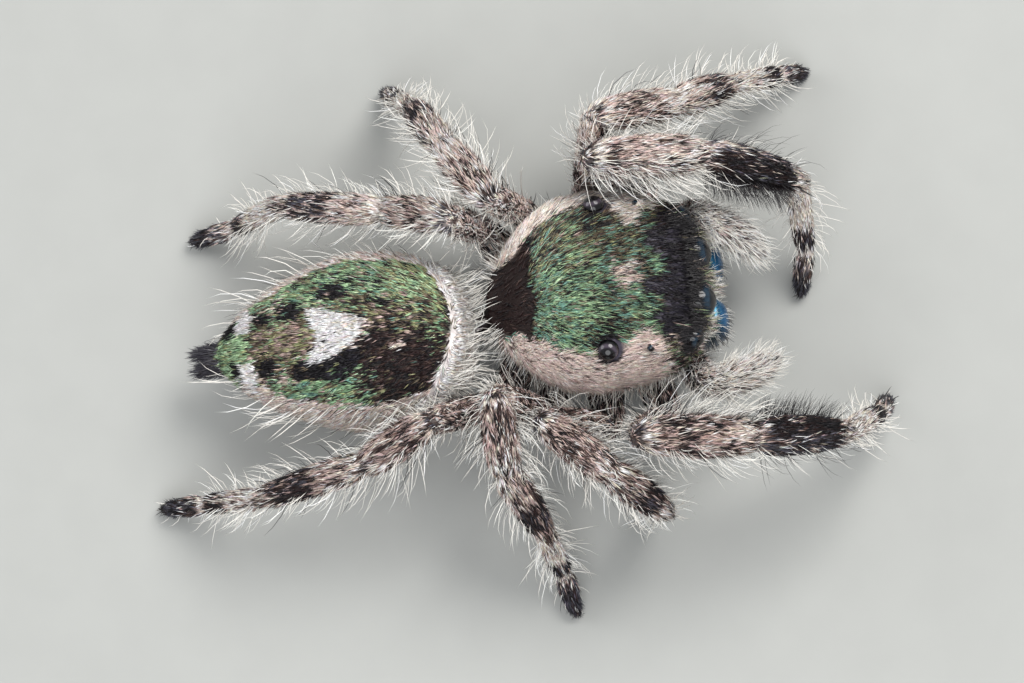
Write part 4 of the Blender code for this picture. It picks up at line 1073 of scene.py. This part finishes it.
# Legs: side fringes, a sparse cover of short ones on top, and the black brush of the front shins
for index, limb in enumerate(LIMBS):
    palp = limb.startswith("palp")
    roots, normals, part, draw = skin_roots(
        limb_of_part == limb, PALP_TRIES if palp else LEG_TRIES, 61 + index)
    along, top, aside, axis, side = limb_place(roots, normals, part)
    kinds = kind_of_part[part]
    inner = aside * (1 if limb.startswith("left") else -1) * (-1 if palp else 1)
    front_leg = limb.endswith("_1")
    shin = front_leg & (kinds == "tibia") & (along > 0.06) & (along < 0.92)
    brush = shin & (inner > -0.2) & (top < 0.55)
    chance = np.where(np.abs(aside) > 0.70, 0.19, np.where(top > 0.5, 0.04, 0.07))
    chance = np.select(
        [kinds == "tarsus", kinds == "metatarsus", kinds == "femur", kinds == "coxa"],
        [0.04, chance * 1.2, chance * 0.9, 0.07], chance)
    chance = np.where(palp, np.where(kinds == "palp_root", 0.08, 0.26), chance)
    chance = np.where(brush, 0.75, chance)
    chance = np.where(front_leg & (kinds == "patella") & (inner > 0.45), 0.38, chance)
    keep = (draw.uniform(size=len(roots)) < chance) & (roots[:, 2] > 0.16)
    coat = chosen(keep, roots, normals, part)
    kinds, top, aside, axis, brush, along, inner, shin = chosen(
        keep, kinds, top, aside, axis, brush, along, inner, shin)
    count = len(kinds)
    long_one = draw.uniform(size=count) < 0.32
    long_lengths, short_lengths = draw.uniform(0.55, 0.98, count), draw.uniform(0.22, 0.52, count)
    lengths = np.where(long_one, long_lengths, short_lengths)
    lengths = lengths * np.select(
        [kinds == "tarsus", top > 0.5, kinds == "coxa"], [0.45, 0.60, 0.8], 1.0)
    inner_fringe = (inner > 0.4) & np.isin(kinds, ("patella", "femur"))
    lengths = np.where(inner_fringe, lengths * 1.25, lengths)
    lengths = np.where(brush, draw.uniform(0.38, 0.70, count), lengths)
    lengths = np.where(palp, draw.uniform(0.26, 0.70, count), lengths)
    knee = (kinds == "femur") & (along > 0.7)
    lengths = np.where(knee, np.minimum(lengths, 0.45), lengths)
    widths = np.where(long_one, 0.0205, 0.0150) + draw.uniform(-0.0015, 0.002, count)
    widths = np.where(shin, 0.0125, widths)
    side_lifts, top_lifts = draw.uniform(50, 80, count), draw.uniform(28, 52, count)
    lifts = np.where(np.abs(aside) > 0.6, side_lifts, top_lifts)
    lifts = np.where(palp, draw.uniform(34, 66, count), lifts)
    bends = draw.normal(-52, 22, count)
    bends = np.where(brush, draw.normal(-22, 10, count), bends)
    # Painted shade: the near (right) legs get more dark bristles on top.
    dark_on_top = 0.75 if limb.startswith("right") else 0.50
    dark = draw.uniform(size=count) < np.where(top > 0.6, dark_on_top, 0.06)
    dark = np.where(shin, draw.uniform(size=count) < np.where(brush, 0.95, 0.72), dark)
    dark &= ~(palp | (kinds == "metatarsus"))
    lies = axis + draw.normal(0, 0.15, axis.shape)
    bristles("bristles_" + limb, coat, lies, lengths, widths, lifts, bends, dark, draw)

# Abdomen: the white ruff over the waist, and long hairs at its sides and rear
roots, normals, part, draw = skin_roots(kind_of_part == "abdomen", ABDOMEN_TRIES, 83)
y, z, off = roots[:, 1], roots[:, 2], roots[:, 0] - ABDOMEN_X
angle = round_abdomen(roots)
ruff = (y - 0.28 * (off - 0.1) ** 2 < 2.88) & (z > 1.30)
flank = ~ruff & (angle > 58) & (angle < 116)
chance = np.select([ruff, flank & (y > 5.9), flank], [0.26, 0.070, 0.05], 0.012)
chance = np.where(angle > 116, 0.03, chance)
keep = draw.uniform(size=len(roots)) < chance
coat = chosen(keep, roots, normals, part)
y, off, ruff, flank = chosen(keep, y, off, ruff, flank)
count = len(off)
back = ~ruff & ~flank
rear = y > 5.6
lies = np.stack([off * 0.45, np.where(ruff, -1.0, 0.9), np.where(ruff, 0.7, -0.05)], 1)
long_one = draw.uniform(size=count) < np.select([ruff, rear], [0.55, 0.34], 0.22)
long_lengths, short_lengths = draw.uniform(0.80, 1.25, count), draw.uniform(0.28, 0.55, count)
lengths = np.where(long_one, long_lengths, short_lengths)
lengths = np.where(ruff & long_one, draw.uniform(0.60, 0.95, count), lengths)
lengths = np.where(back, draw.uniform(0.22, 0.36, count), lengths)
facing = np.clip(-coat[1][:, 1], 0, 1)
ruff_lifts, side_lifts = draw.uniform(8, 40, count), draw.uniform(38, 66, count)
lifts = np.where(ruff, ruff_lifts + 50 * facing, side_lifts)
lifts = np.where(back, draw.uniform(16, 30, count), lifts)
dark_chance = np.select([ruff, flank & long_one, flank], [0.02, 0.0, 0.20], 0.85)
dark = draw.uniform(size=count) < dark_chance
widths = np.where(long_one, np.where(flank & rear, 0.027, 0.023), 0.017)
bends = np.where(ruff, draw.normal(-30, 30, count), draw.normal(-40, 18, count))
bristles("bristles_abdomen", coat, lies, lengths, widths, lifts, bends, dark, draw)


def drawn_by_kind(draw, kinds, ranges, count):
    """A random value for each hair, from the range of its kind or else from the last range."""
    drawn = [draw.uniform(low, high, count) for low, high in ranges]
    return np.select(kinds, drawn[:-1], drawn[-1])


# Head: pale hair hanging from the cheeks, the brow over the front eyes, and hair between them
roots, normals, part, draw = skin_roots(ON_HEAD, HEAD_TRIES, 89)
x, y, z = roots.T
reach = np.abs(x)
skirt = (z > 1.15) & (z < 1.95) & (y > -1.5) & (reach > 0.5)
brow_middle = (y < -1.60) & (reach < 1.5)
brow_side = (y < -1.30) & (reach > 1.02) & (reach < 1.62)
brow = (z > 2.30) & (brow_middle | brow_side)
face = (y < -1.80) & (z <= 2.40) & (z > 1.85)
crown = (y >= -1.60) & (z > 2.4)
brow_chance = 0.30 + 0.70 * soft_step(-y, 1.62, 1.78)
chance = np.select([skirt, brow, face, crown], [0.15, brow_chance, 0.80, 0.055], 0.0)
chance = np.where(brow & (reach > 1.02), 0.55, chance)
keep = (draw.uniform(size=len(roots)) < chance) & clear_of_eyes(roots, 1.05)
coat = chosen(keep, roots, normals, part)
x, y, skirt, brow, face = chosen(keep, x, y, skirt, brow, face)
count = len(x)
kinds = [skirt, brow, face]
lies = np.stack([
    np.select(kinds, [np.sign(x) * 0.5, x * 0.10, -x * 0.2], 0.0),
    np.select(kinds, [0.15, -1.0, -1.0], -1.0),
    np.select(kinds, [-1.0, 0.0, -0.55], 0.0),
], 1) + draw.normal(0, 0.17, (count, 3))
lengths = drawn_by_kind(
    draw, kinds, ((0.30, 0.70), (0.32, 0.52), (0.30, 0.62), (0.26, 0.42)), count)
lifts = drawn_by_kind(draw, kinds, ((24, 56), (4, 22), (20, 50), (16, 34)), count)
steep = np.clip(-coat[1][:, 1], 0, 1)
lifts = np.where(brow, lifts + 40 * steep, lifts)
bends = np.where(brow, draw.normal(-26, 12, count), draw.normal(-20, 14, count))
brow_dark = 0.95 - 0.45 * soft_step(-y, 1.72, 1.86)
dark = draw.uniform(size=count) < np.select(kinds, [0.10, brow_dark, 0.15], 1.0)
BROW_MIX = {"cream": 0.18, "moss": 0.22, "lime": 0.08, "green": 0.10, "tan": 0.20, "bronze": 0.22}
picks = draw.choice(len(TONE_NAMES), count, p=[BROW_MIX.get(name, 0.0) for name in TONE_NAMES])
pale = np.where(brow[:, None], TONE_TABLE[picks], PALE_HAIR)
coloured = face & (draw.uniform(size=count) < 0.35)
pale = np.where(coloured[:, None], TONE_TABLE[picks], pale)
widths = np.where(brow, 0.0190, 0.0150)
bristles("bristles_head", coat, lies, lengths, widths, lifts, bends, dark, draw, pale)

# THE DARK TUFTS
# Dense pads of short black hair under the tips of the feet and round the spinnerets, every
# hair a small bent cone set by one grower that works from a point for each root.


def hair_grower(sides):
    """A node tree that stands one bent, tapered hair on every point of a cloud of roots."""
    tree = bpy.data.node_groups.new("hair_grower", "GeometryNodeTree")
    for name, kind in (("Roots", "Geometry"), ("Thickness", "Float"), ("Bend", "Float"),
                       ("Twist Seed", "Int"), ("Finish", "Material")):
        tree.interface.new_socket(name, in_out="INPUT", socket_type="NodeSocket" + kind)
    tree.interface.new_socket("Hairs", in_out="OUTPUT", socket_type="NodeSocketGeometry")
    given = add_node(tree, "NodeGroupInput")
    cone = add_node(tree, "GeometryNodeMeshCone", Vertices=sides)
    for key, value in (("Side Segments", 3), ("Radius Top", 0.0), ("Depth", 1.0)):
        cone.inputs[key].default_value = value
    here = add_node(tree, "GeometryNodeInputPosition")
    split = add_node(tree, "ShaderNodeSeparateXYZ")
    square = add_node(tree, "ShaderNodeMath", operation="MULTIPLY")
    amount = add_node(tree, "ShaderNodeMath", operation="MULTIPLY")
    shift = add_node(tree, "ShaderNodeCombineXYZ")
    bent = add_node(tree, "GeometryNodeSetPosition")
    way = add_node(tree, "GeometryNodeInputNamedAttribute", data_type="FLOAT_VECTOR")
    way.inputs["Name"].default_value = "way"
    size = add_node(tree, "GeometryNodeInputNamedAttribute", data_type="FLOAT")
    size.inputs["Name"].default_value = "size"
    aim = add_node(tree, "FunctionNodeAlignRotationToVector", axis="Z")
    turn = add_node(tree, "FunctionNodeRandomValue", data_type="FLOAT")
    turn.inputs[3].default_value = 6.283
    spin = add_node(tree, "ShaderNodeCombineXYZ")
    both = add_node(tree, "FunctionNodeRotateRotation", rotation_space="LOCAL")
    stand = add_node(tree, "GeometryNodeInstanceOnPoints")
    real = add_node(tree, "GeometryNodeRealizeInstances")
    finish = add_node(tree, "GeometryNodeSetMaterial")
    result = add_node(tree, "NodeGroupOutput")
    for source, output, target, socket in (
        (given, "Thickness", cone, "Radius Bottom"), (cone, "Mesh", bent, "Geometry"),
        (here, 0, split, 0), (split, "Z", square, 0), (split, "Z", square, 1),
        (square, 0, amount, 0), (given, "Bend", amount, 1),
        (amount, 0, shift, "X"), (shift, 0, bent, "Offset"),
        (given, "Roots", stand, "Points"), (bent, 0, stand, "Instance"),
        (way, "Attribute", aim, "Vector"), (aim, 0, both, 0),
        (given, "Twist Seed", turn, "Seed"), (turn, 1, spin, "Z"),
        (spin, 0, both, 1), (both, 0, stand, "Rotation"),
        (size, "Attribute", stand, "Scale"), (stand, 0, real, 0),
        (real, 0, finish, "Geometry"), (given, "Finish", finish, "Material"),
        (finish, 0, result, 0),
    ):
        tree.links.new(source.outputs[output], target.inputs[socket])
    return tree


FOOT_TRIES, SPINNERET_TRIES = 900, 1000
grower = hair_grower(4)


def grow_tuft(name, coat, ways, sizes, tint, thickness, bend):
    """Stand a hair on each root with the grower, and keep the result as a plain mesh."""
    roots, normals, part = coat
    keep = (roots + ways * sizes[:, None])[:, 2] > 0.02
    roots, normals, part, ways, sizes, tint = chosen(keep, roots, normals, part, ways, sizes, tint)
    mesh = bpy.data.meshes.new(name)
    mesh.from_pydata([tuple(p) for p in (roots - normals * ROOT_DEPTH + STAND_AT) * MM], [], [])
    way = mesh.attributes.new("way", "FLOAT_VECTOR", "POINT")
    way.data.foreach_set("vector", ways.astype(np.float32).ravel())
    size = mesh.attributes.new("size", "FLOAT", "POINT")
    size.data.foreach_set("value", (sizes * MM).astype(np.float32))
    paint(mesh, np.concatenate([tint, np.zeros((len(tint), 1))], 1))
    piece = add_object(mesh)
    modifier = piece.modifiers.new("grower", "NODES")
    modifier.node_group = grower
    values = {"Thickness": thickness, "Bend": bend, "Twist Seed": 7, "Finish": bristle_finish}
    for item in grower.interface.items_tree:
        if item.name in values:
            modifier[item.identifier] = values[item.name]
    depsgraph = bpy.context.evaluated_depsgraph_get()
    grown = bpy.data.meshes.new_from_object(piece.evaluated_get(depsgraph))
    piece.modifiers.remove(modifier)
    piece.data = grown
    grown.name = name
    lay_chart(grown, len(grown.vertices) // len(roots), roots, normals, part)
    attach(piece, "root")
    triangles = sum(len(p.vertices) - 2 for p in grown.polygons)
    print(name, len(roots), "hairs", triangles, "triangles")


for index, limb in enumerate(legs):
    wanted = (limb_of_part == limb) & (kind_of_part == "tarsus")
    roots, normals, part, draw = skin_roots(wanted, FOOT_TRIES, 101 + index)
    along, top, _, axis, _ = limb_place(roots, normals, part)
    keep = (along > 0.70) & (draw.uniform(size=len(roots)) < np.where(top < 0.3, 1.0, 0.5))
    coat, count = chosen(keep, roots, normals, part), keep.sum()
    ways = unit(normals[keep] * 0.7 + axis[keep] * 1.0 + draw.normal(0, 0.12, (count, 3)))
    sizes = draw.uniform(0.10, 0.19, count)
    tint = np.tile(tone(44, 44, 54), (count, 1)) * np.exp(draw.normal(0, 0.2, count))[:, None]
    grow_tuft("claw_tuft_" + limb, coat, ways, sizes, tint, 0.07, 0.16)

roots, normals, part, draw = skin_roots(kind_of_part == "spinneret", SPINNERET_TRIES, 121)
along, _, _, axis, _ = limb_place(roots, normals, part)
count = len(roots)
ways = unit(normals * 0.35 + axis + draw.normal(0, 0.10, normals.shape))
sizes = draw.uniform(0.14, 0.30, count)
tint = np.tile(tone(44, 42, 50), (count, 1)) * np.exp(draw.normal(0, 0.25, count))[:, None]
roots, normals, part, ways, sizes, tint = chosen(
    along > 0.10, roots, normals, part, ways, sizes, tint)
grow_tuft("spinneret_tuft", (roots, normals, part), ways, sizes, tint, 0.045, 0.12)

# THE EYES
# Eight ball-shaped lenses of clear dark cuticle, the front middle pair by far the largest.
# Each is glossy and sits deep in a low mound of the carapace.

# Each lens is dark at its pole with a lighter ring round it. The ring is partly the eye's own rim
# colour and partly a painted reflection: brown-grey on the rear eyes, blue on the others.
PUPIL, RING_SHEEN_BROWN, RING_SHEEN_BLUE = tone(10, 9, 12), tone(66, 58, 68), tone(30, 48, 62)
RING_SHEEN_FROM, RING_SHEEN_TO = (42, 52), (60, 76)


def lens_ball(name, centre, look, girth, around=48, along=28):
    """A smooth lens with its pole along the way it looks."""
    look = unit(np.array(look, float))
    side = unit(np.cross(look, (0.0, 0.0, 1.0)))
    up = np.cross(side, look)
    points, faces = [centre - look * girth], []
    for i in range(1, along):
        tilt = math.pi * i / along
        for j in range(around):
            turn = 2 * math.pi * j / around
            out = side * math.cos(turn) + up * math.sin(turn)
            points.append(centre - look * girth * math.cos(tilt) + out * girth * math.sin(tilt))
    points.append(centre + look * girth)
    last = 1 + (along - 2) * around
    for j in range(around):
        k = (j + 1) % around
        faces.append((0, 1 + k, 1 + j))
        for low in range(1, last, around):
            high = low + around
            faces.append((low + j, low + k, high + k, high + j))
        faces.append((last + j, last + k, len(points) - 1))
    mesh = bpy.data.meshes.new(name)
    mesh.from_pydata([tuple((p + STAND_AT) * MM) for p in points], [], faces)
    # Painted reflection, partly the eye's own rim colour: a lighter ring between these angles from
    # the pole.
    off_look = np.degrees(np.arccos(np.clip(unit(np.array(points) - centre) @ look, -1, 1)))
    ring_sheen = (soft_step(off_look, *RING_SHEEN_FROM) * (1 - soft_step(off_look, *RING_SHEEN_TO)))[:, None]
    hue = RING_SHEEN_BROWN if name.startswith("lens_eye_rear") else RING_SHEEN_BLUE
    paint(mesh, PUPIL * (1 - ring_sheen) + hue * ring_sheen)
    mesh.shade_smooth()
    return add_object(mesh)


material, _, shader, _ = tinted("lens", 0.09, 5000.0, (0.55, 0.58, 0.62), 0.7)
shader.inputs["Coat Weight"].default_value = 0.15
shader.inputs["Coat Roughness"].default_value = 0.04
shader.inputs["Specular IOR Level"].default_value = 0.40
for kind, (spot, look, girth) in EYES.items():
    for side in SIDES:
        mirror = np.array((SIDES[side], 1, 1))
        name = kind + "_" + side
        piece = lens_ball("lens_" + name, np.array(spot) * mirror, np.array(look) * mirror, girth)
        piece.data.materials.append(material)
        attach(piece, "root")
        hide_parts(name)

# THE JAWS
# Two stout chelicerae under the front eyes, of hard cuticle with a bright blue metallic gleam
# that turns green near the face and violet at the tips. Each has a few stiff hairs rooted in
# it and a dark horny fang folded inwards under its tip.

JAW_AT = np.array((0.60, -2.02, 1.06))
JAW_HALF = np.array((0.48, 0.50, 0.80))
JAW_REAR_Y, JAW_TOP_Z = -1.50, 1.80
JAW_HAIRS = 230
VIOLET, BLUE, GREEN, DUSK = (
    tone(58, 52, 112), tone(38, 104, 152), tone(50, 98, 88), tone(20, 26, 38))


def jaw_swell(x, y, z):
    """Places on a boxy egg, tapering downwards, from directions on a ball."""
    taper = 1.0 - 0.20 * np.maximum(0.0, -z)
    return np.stack([np.sign(x) * np.abs(x) ** 0.8 * taper, np.sign(y) * np.abs(y) ** 0.8 * taper,
                     np.sign(z) * np.abs(z) ** 0.9], -1)


material, tree, shader, outputs = tinted(
    "jaw_blue", 0.27, 12000.0, (0.50, 0.60, 0.70), 0.7, 0.7)
add_bump(tree, shader, outputs["noise"], 0.4)
for side in SIDES:
    centre = JAW_AT * (SIDES[side], 1, 1)
    around, along = 40, 30
    tilt = np.repeat(math.pi * np.arange(along + 1) / along, around)
    turn = np.tile(2 * math.pi * np.arange(around) / around, along + 1)
    ball = np.sin(tilt) * np.cos(turn), np.sin(tilt) * np.sin(turn), np.cos(tilt)
    points = centre + JAW_HALF * jaw_swell(*ball)
    faces = []
    for i in range(along):
        low, high = i * around, (i + 1) * around
        for j in range(around):
            k = (j + 1) % around
            faces.append((low + j, high + j, high + k, low + k))
    points[:, 1] = np.minimum(points[:, 1], JAW_REAR_Y)
    points[:, 2] = np.minimum(points[:, 2], JAW_TOP_Z)
    mesh = bpy.data.meshes.new("jaw_" + side)
    mesh.from_pydata([tuple((p + STAND_AT) * MM) for p in points], [], faces)
    up = (points[:, 2] - 0.3) / 1.5
    outer = 0.75 * soft_step((points[:, 0] - centre[0]) * SIDES[side], 0.10, 0.42)[:, None]
    upper = soft_step(up, 0.1, 0.5)[:, None]
    near_face = (soft_step(points[:, 1], -2.45, -2.05) * soft_step(up, 0.5, 0.8))[:, None]
    shade = VIOLET * (1 - upper) + BLUE * upper
    shade = shade * (1 - near_face) + GREEN * near_face
    paint(mesh, shade * (1 - outer) + DUSK * outer)
    mesh.materials.append(material)
    mesh.shade_smooth()
    piece = add_object(mesh)
    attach(piece, "root")
    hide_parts("chelicera_" + side)

# Hairs of the jaws, rooted over their front and outer faces and pointing down
for side in SIDES:
    centre = JAW_AT * (SIDES[side], 1, 1)
    draw = np.random.default_rng(131 + SIDES[side])
    tilt, turn = draw.uniform(0.9, 2.75, JAW_HAIRS), draw.uniform(math.pi, 2 * math.pi, JAW_HAIRS)
    ball = np.sin(tilt) * np.cos(turn), np.sin(tilt) * np.sin(turn), np.cos(tilt)
    roots = centre + JAW_HALF * jaw_swell(*ball)
    normals = unit(np.stack(ball, 1) / JAW_HALF)
    part = np.full(JAW_HAIRS, int(np.flatnonzero(kind_of_part == "mouth")[0]))
    coat = chosen(roots[:, 2] < 1.72, roots, normals, part)
    count = len(coat[0])
    lies = np.tile((0.0, -0.15, -1.0), (count, 1)) + draw.normal(0, 0.18, (count, 3))
    dark = draw.uniform(size=count) < 0.45
    lengths, lifts = draw.uniform(0.16, 0.34, count), draw.uniform(18, 46, count)
    bristles("bristles_jaw_" + side, coat, lies, lengths, np.full(count, 0.011), lifts,
             draw.normal(-20, 10, count), dark, draw)

FANG_PATH = ((0.72, -2.16, 0.42), (0.56, -2.36, 0.20), (0.34, -2.22, 0.16), (0.20, -1.98, 0.30))
FANG_RADIUS, FANG_TIP = 0.095, 0.012
material, tree, shader = new_material("fang_horn", 0.25)
base = tree.nodes.new("ShaderNodeRGB")
base.outputs[0].default_value = (*tone(52, 24, 18), 1)
mottled(tree, shader, base.outputs[0], 9000.0, (0.40, 0.35, 0.35), 0.8)
for side in SIDES:
    path = np.array(FANG_PATH) * (SIDES[side], 1, 1)
    around = 12
    circle = np.linspace(0, 2 * np.pi, around, endpoint=False)
    rings = []
    for t in np.linspace(0, 1, 14):
        u = 1 - t
        at = np.array((u ** 3, 3 * t * u ** 2, 3 * t * t * u, t ** 3)) @ path
        slope = np.array((-3 * u ** 2, 3 * u * (1 - 3 * t), 3 * t * (2 - 3 * t), 3 * t * t))
        axis = unit(slope @ path)
        across = unit(np.cross(axis, (0.0, 0.0, 1.0)))
        ring = np.outer(np.cos(circle), across) + np.outer(np.sin(circle), np.cross(across, axis))
        rings.append(at + (FANG_RADIUS * u + FANG_TIP * t) * ring)
    faces, last = [], (len(rings) - 1) * around
    for low in range(0, last, around):
        high = low + around
        for j in range(around):
            k = (j + 1) % around
            faces.append((low + j, low + k, high + k, high + j))
    faces += [tuple(range(around))[::-1], tuple(range(last, last + around))]
    mesh = bpy.data.meshes.new("fang_" + side)
    points = np.concatenate(rings)
    mesh.from_pydata([tuple((p + STAND_AT) * MM) for p in points], [], faces)
    shell = bmesh.new()
    shell.from_mesh(mesh)
    bmesh.ops.recalc_face_normals(shell, faces=shell.faces)
    shell.to_mesh(mesh)
    shell.free()
    mesh.materials.append(material)
    mesh.shade_smooth()
    piece = add_object(mesh)
    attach(piece, "root")

# FLOOR, LIGHT AND CAMERA
# A plain pale floor, large soft lamps above and a camera that looks down on the back with the
# head to the right, at the angle of a close-up taken from above.

FLOOR_REACH = 2
floor_mesh = bpy.data.meshes.new("floor")
floor_mesh.from_pydata(
    [(x * FLOOR_REACH, y * FLOOR_REACH, 0) for x, y in ((-1, -1), (1, -1), (1, 1), (-1, 1))],
    [], [(0, 1, 2, 3)])
floor = add_object(floor_mesh)
material, tree, shader = new_material("floor_paper", 0.85)
base = tree.nodes.new("ShaderNodeRGB")
base.outputs[0].default_value = (0.33, 0.335, 0.322, 1)
mottled(tree, shader, base.outputs[0], 900.0, (0.95, 0.95, 0.95), 0.5)
floor_mesh.materials.append(material)

TILT, ROLL = math.radians(18.0), math.radians(5.7)
PIXELS_PER_MM, DISTANCE, PICTURE_WIDTH, SENSOR = 50.0, 160.0, 1024, 36
BACK_HEIGHT = 2.95
AIM_LEFT_PX, AIM_UP_PX = 600.5 - 512, 341.5 - 276.5
back = Vector((-math.sin(TILT), 0, math.cos(TILT)))
level_right = Vector((0, -1, 0))
level_up = back.cross(level_right)
right = math.cos(ROLL) * level_right - math.sin(ROLL) * level_up
up = math.sin(ROLL) * level_right + math.cos(ROLL) * level_up
aim = (Vector((0, 0, BACK_HEIGHT)) - right * AIM_LEFT_PX / PIXELS_PER_MM
       - up * AIM_UP_PX / PIXELS_PER_MM)
eye = aim + back * DISTANCE + Vector(STAND_AT)
camera_data = bpy.data.cameras.new("camera")
camera_data.sensor_width = SENSOR
camera_data.lens = SENSOR * PIXELS_PER_MM * DISTANCE / PICTURE_WIDTH
camera_data.clip_start = 0.001
camera_data.clip_end = 10
camera = bpy.data.objects.new("camera", camera_data)
turned = Matrix((right, up, back)).transposed().to_4x4()
camera.matrix_world = Matrix.Translation(eye * MM) @ turned
bpy.context.scene.collection.objects.link(camera)
bpy.context.scene.camera = camera


def lamp(name, place, size, power, light_tone):
    """A round soft lamp that faces the spider."""
    data = bpy.data.lights.new(name, "AREA")
    data.shape = "DISK"
    data.size, data.energy, data.color = size, power, light_tone
    obj = bpy.data.objects.new(name, data)
    obj.location = Vector(place)
    obj.rotation_euler = (-Vector(place)).to_track_quat("-Z", "Y").to_euler()
    bpy.context.scene.collection.objects.link(obj)


lamp("key_lamp", (0.06, -0.07, 0.12), 0.11, 0.26, (1.0, 0.98, 0.95))
lamp("fill_lamp", (-0.10, 0.01, 0.09), 0.13, 0.15, (0.97, 0.98, 1.0))
lamp("rear_lamp", (0.05, 0.12, 0.07), 0.10, 0.08, (1.0, 1.0, 1.0))
world = bpy.data.worlds.new("studio")
bpy.context.scene.world = world
world.use_nodes = True
backdrop = world.node_tree.nodes["Background"]
backdrop.inputs["Color"].default_value = (0.94, 0.97, 1.0, 1)
backdrop.inputs["Strength"].default_value = 0.55
bpy.context.scene.view_settings.view_transform = "Standard"
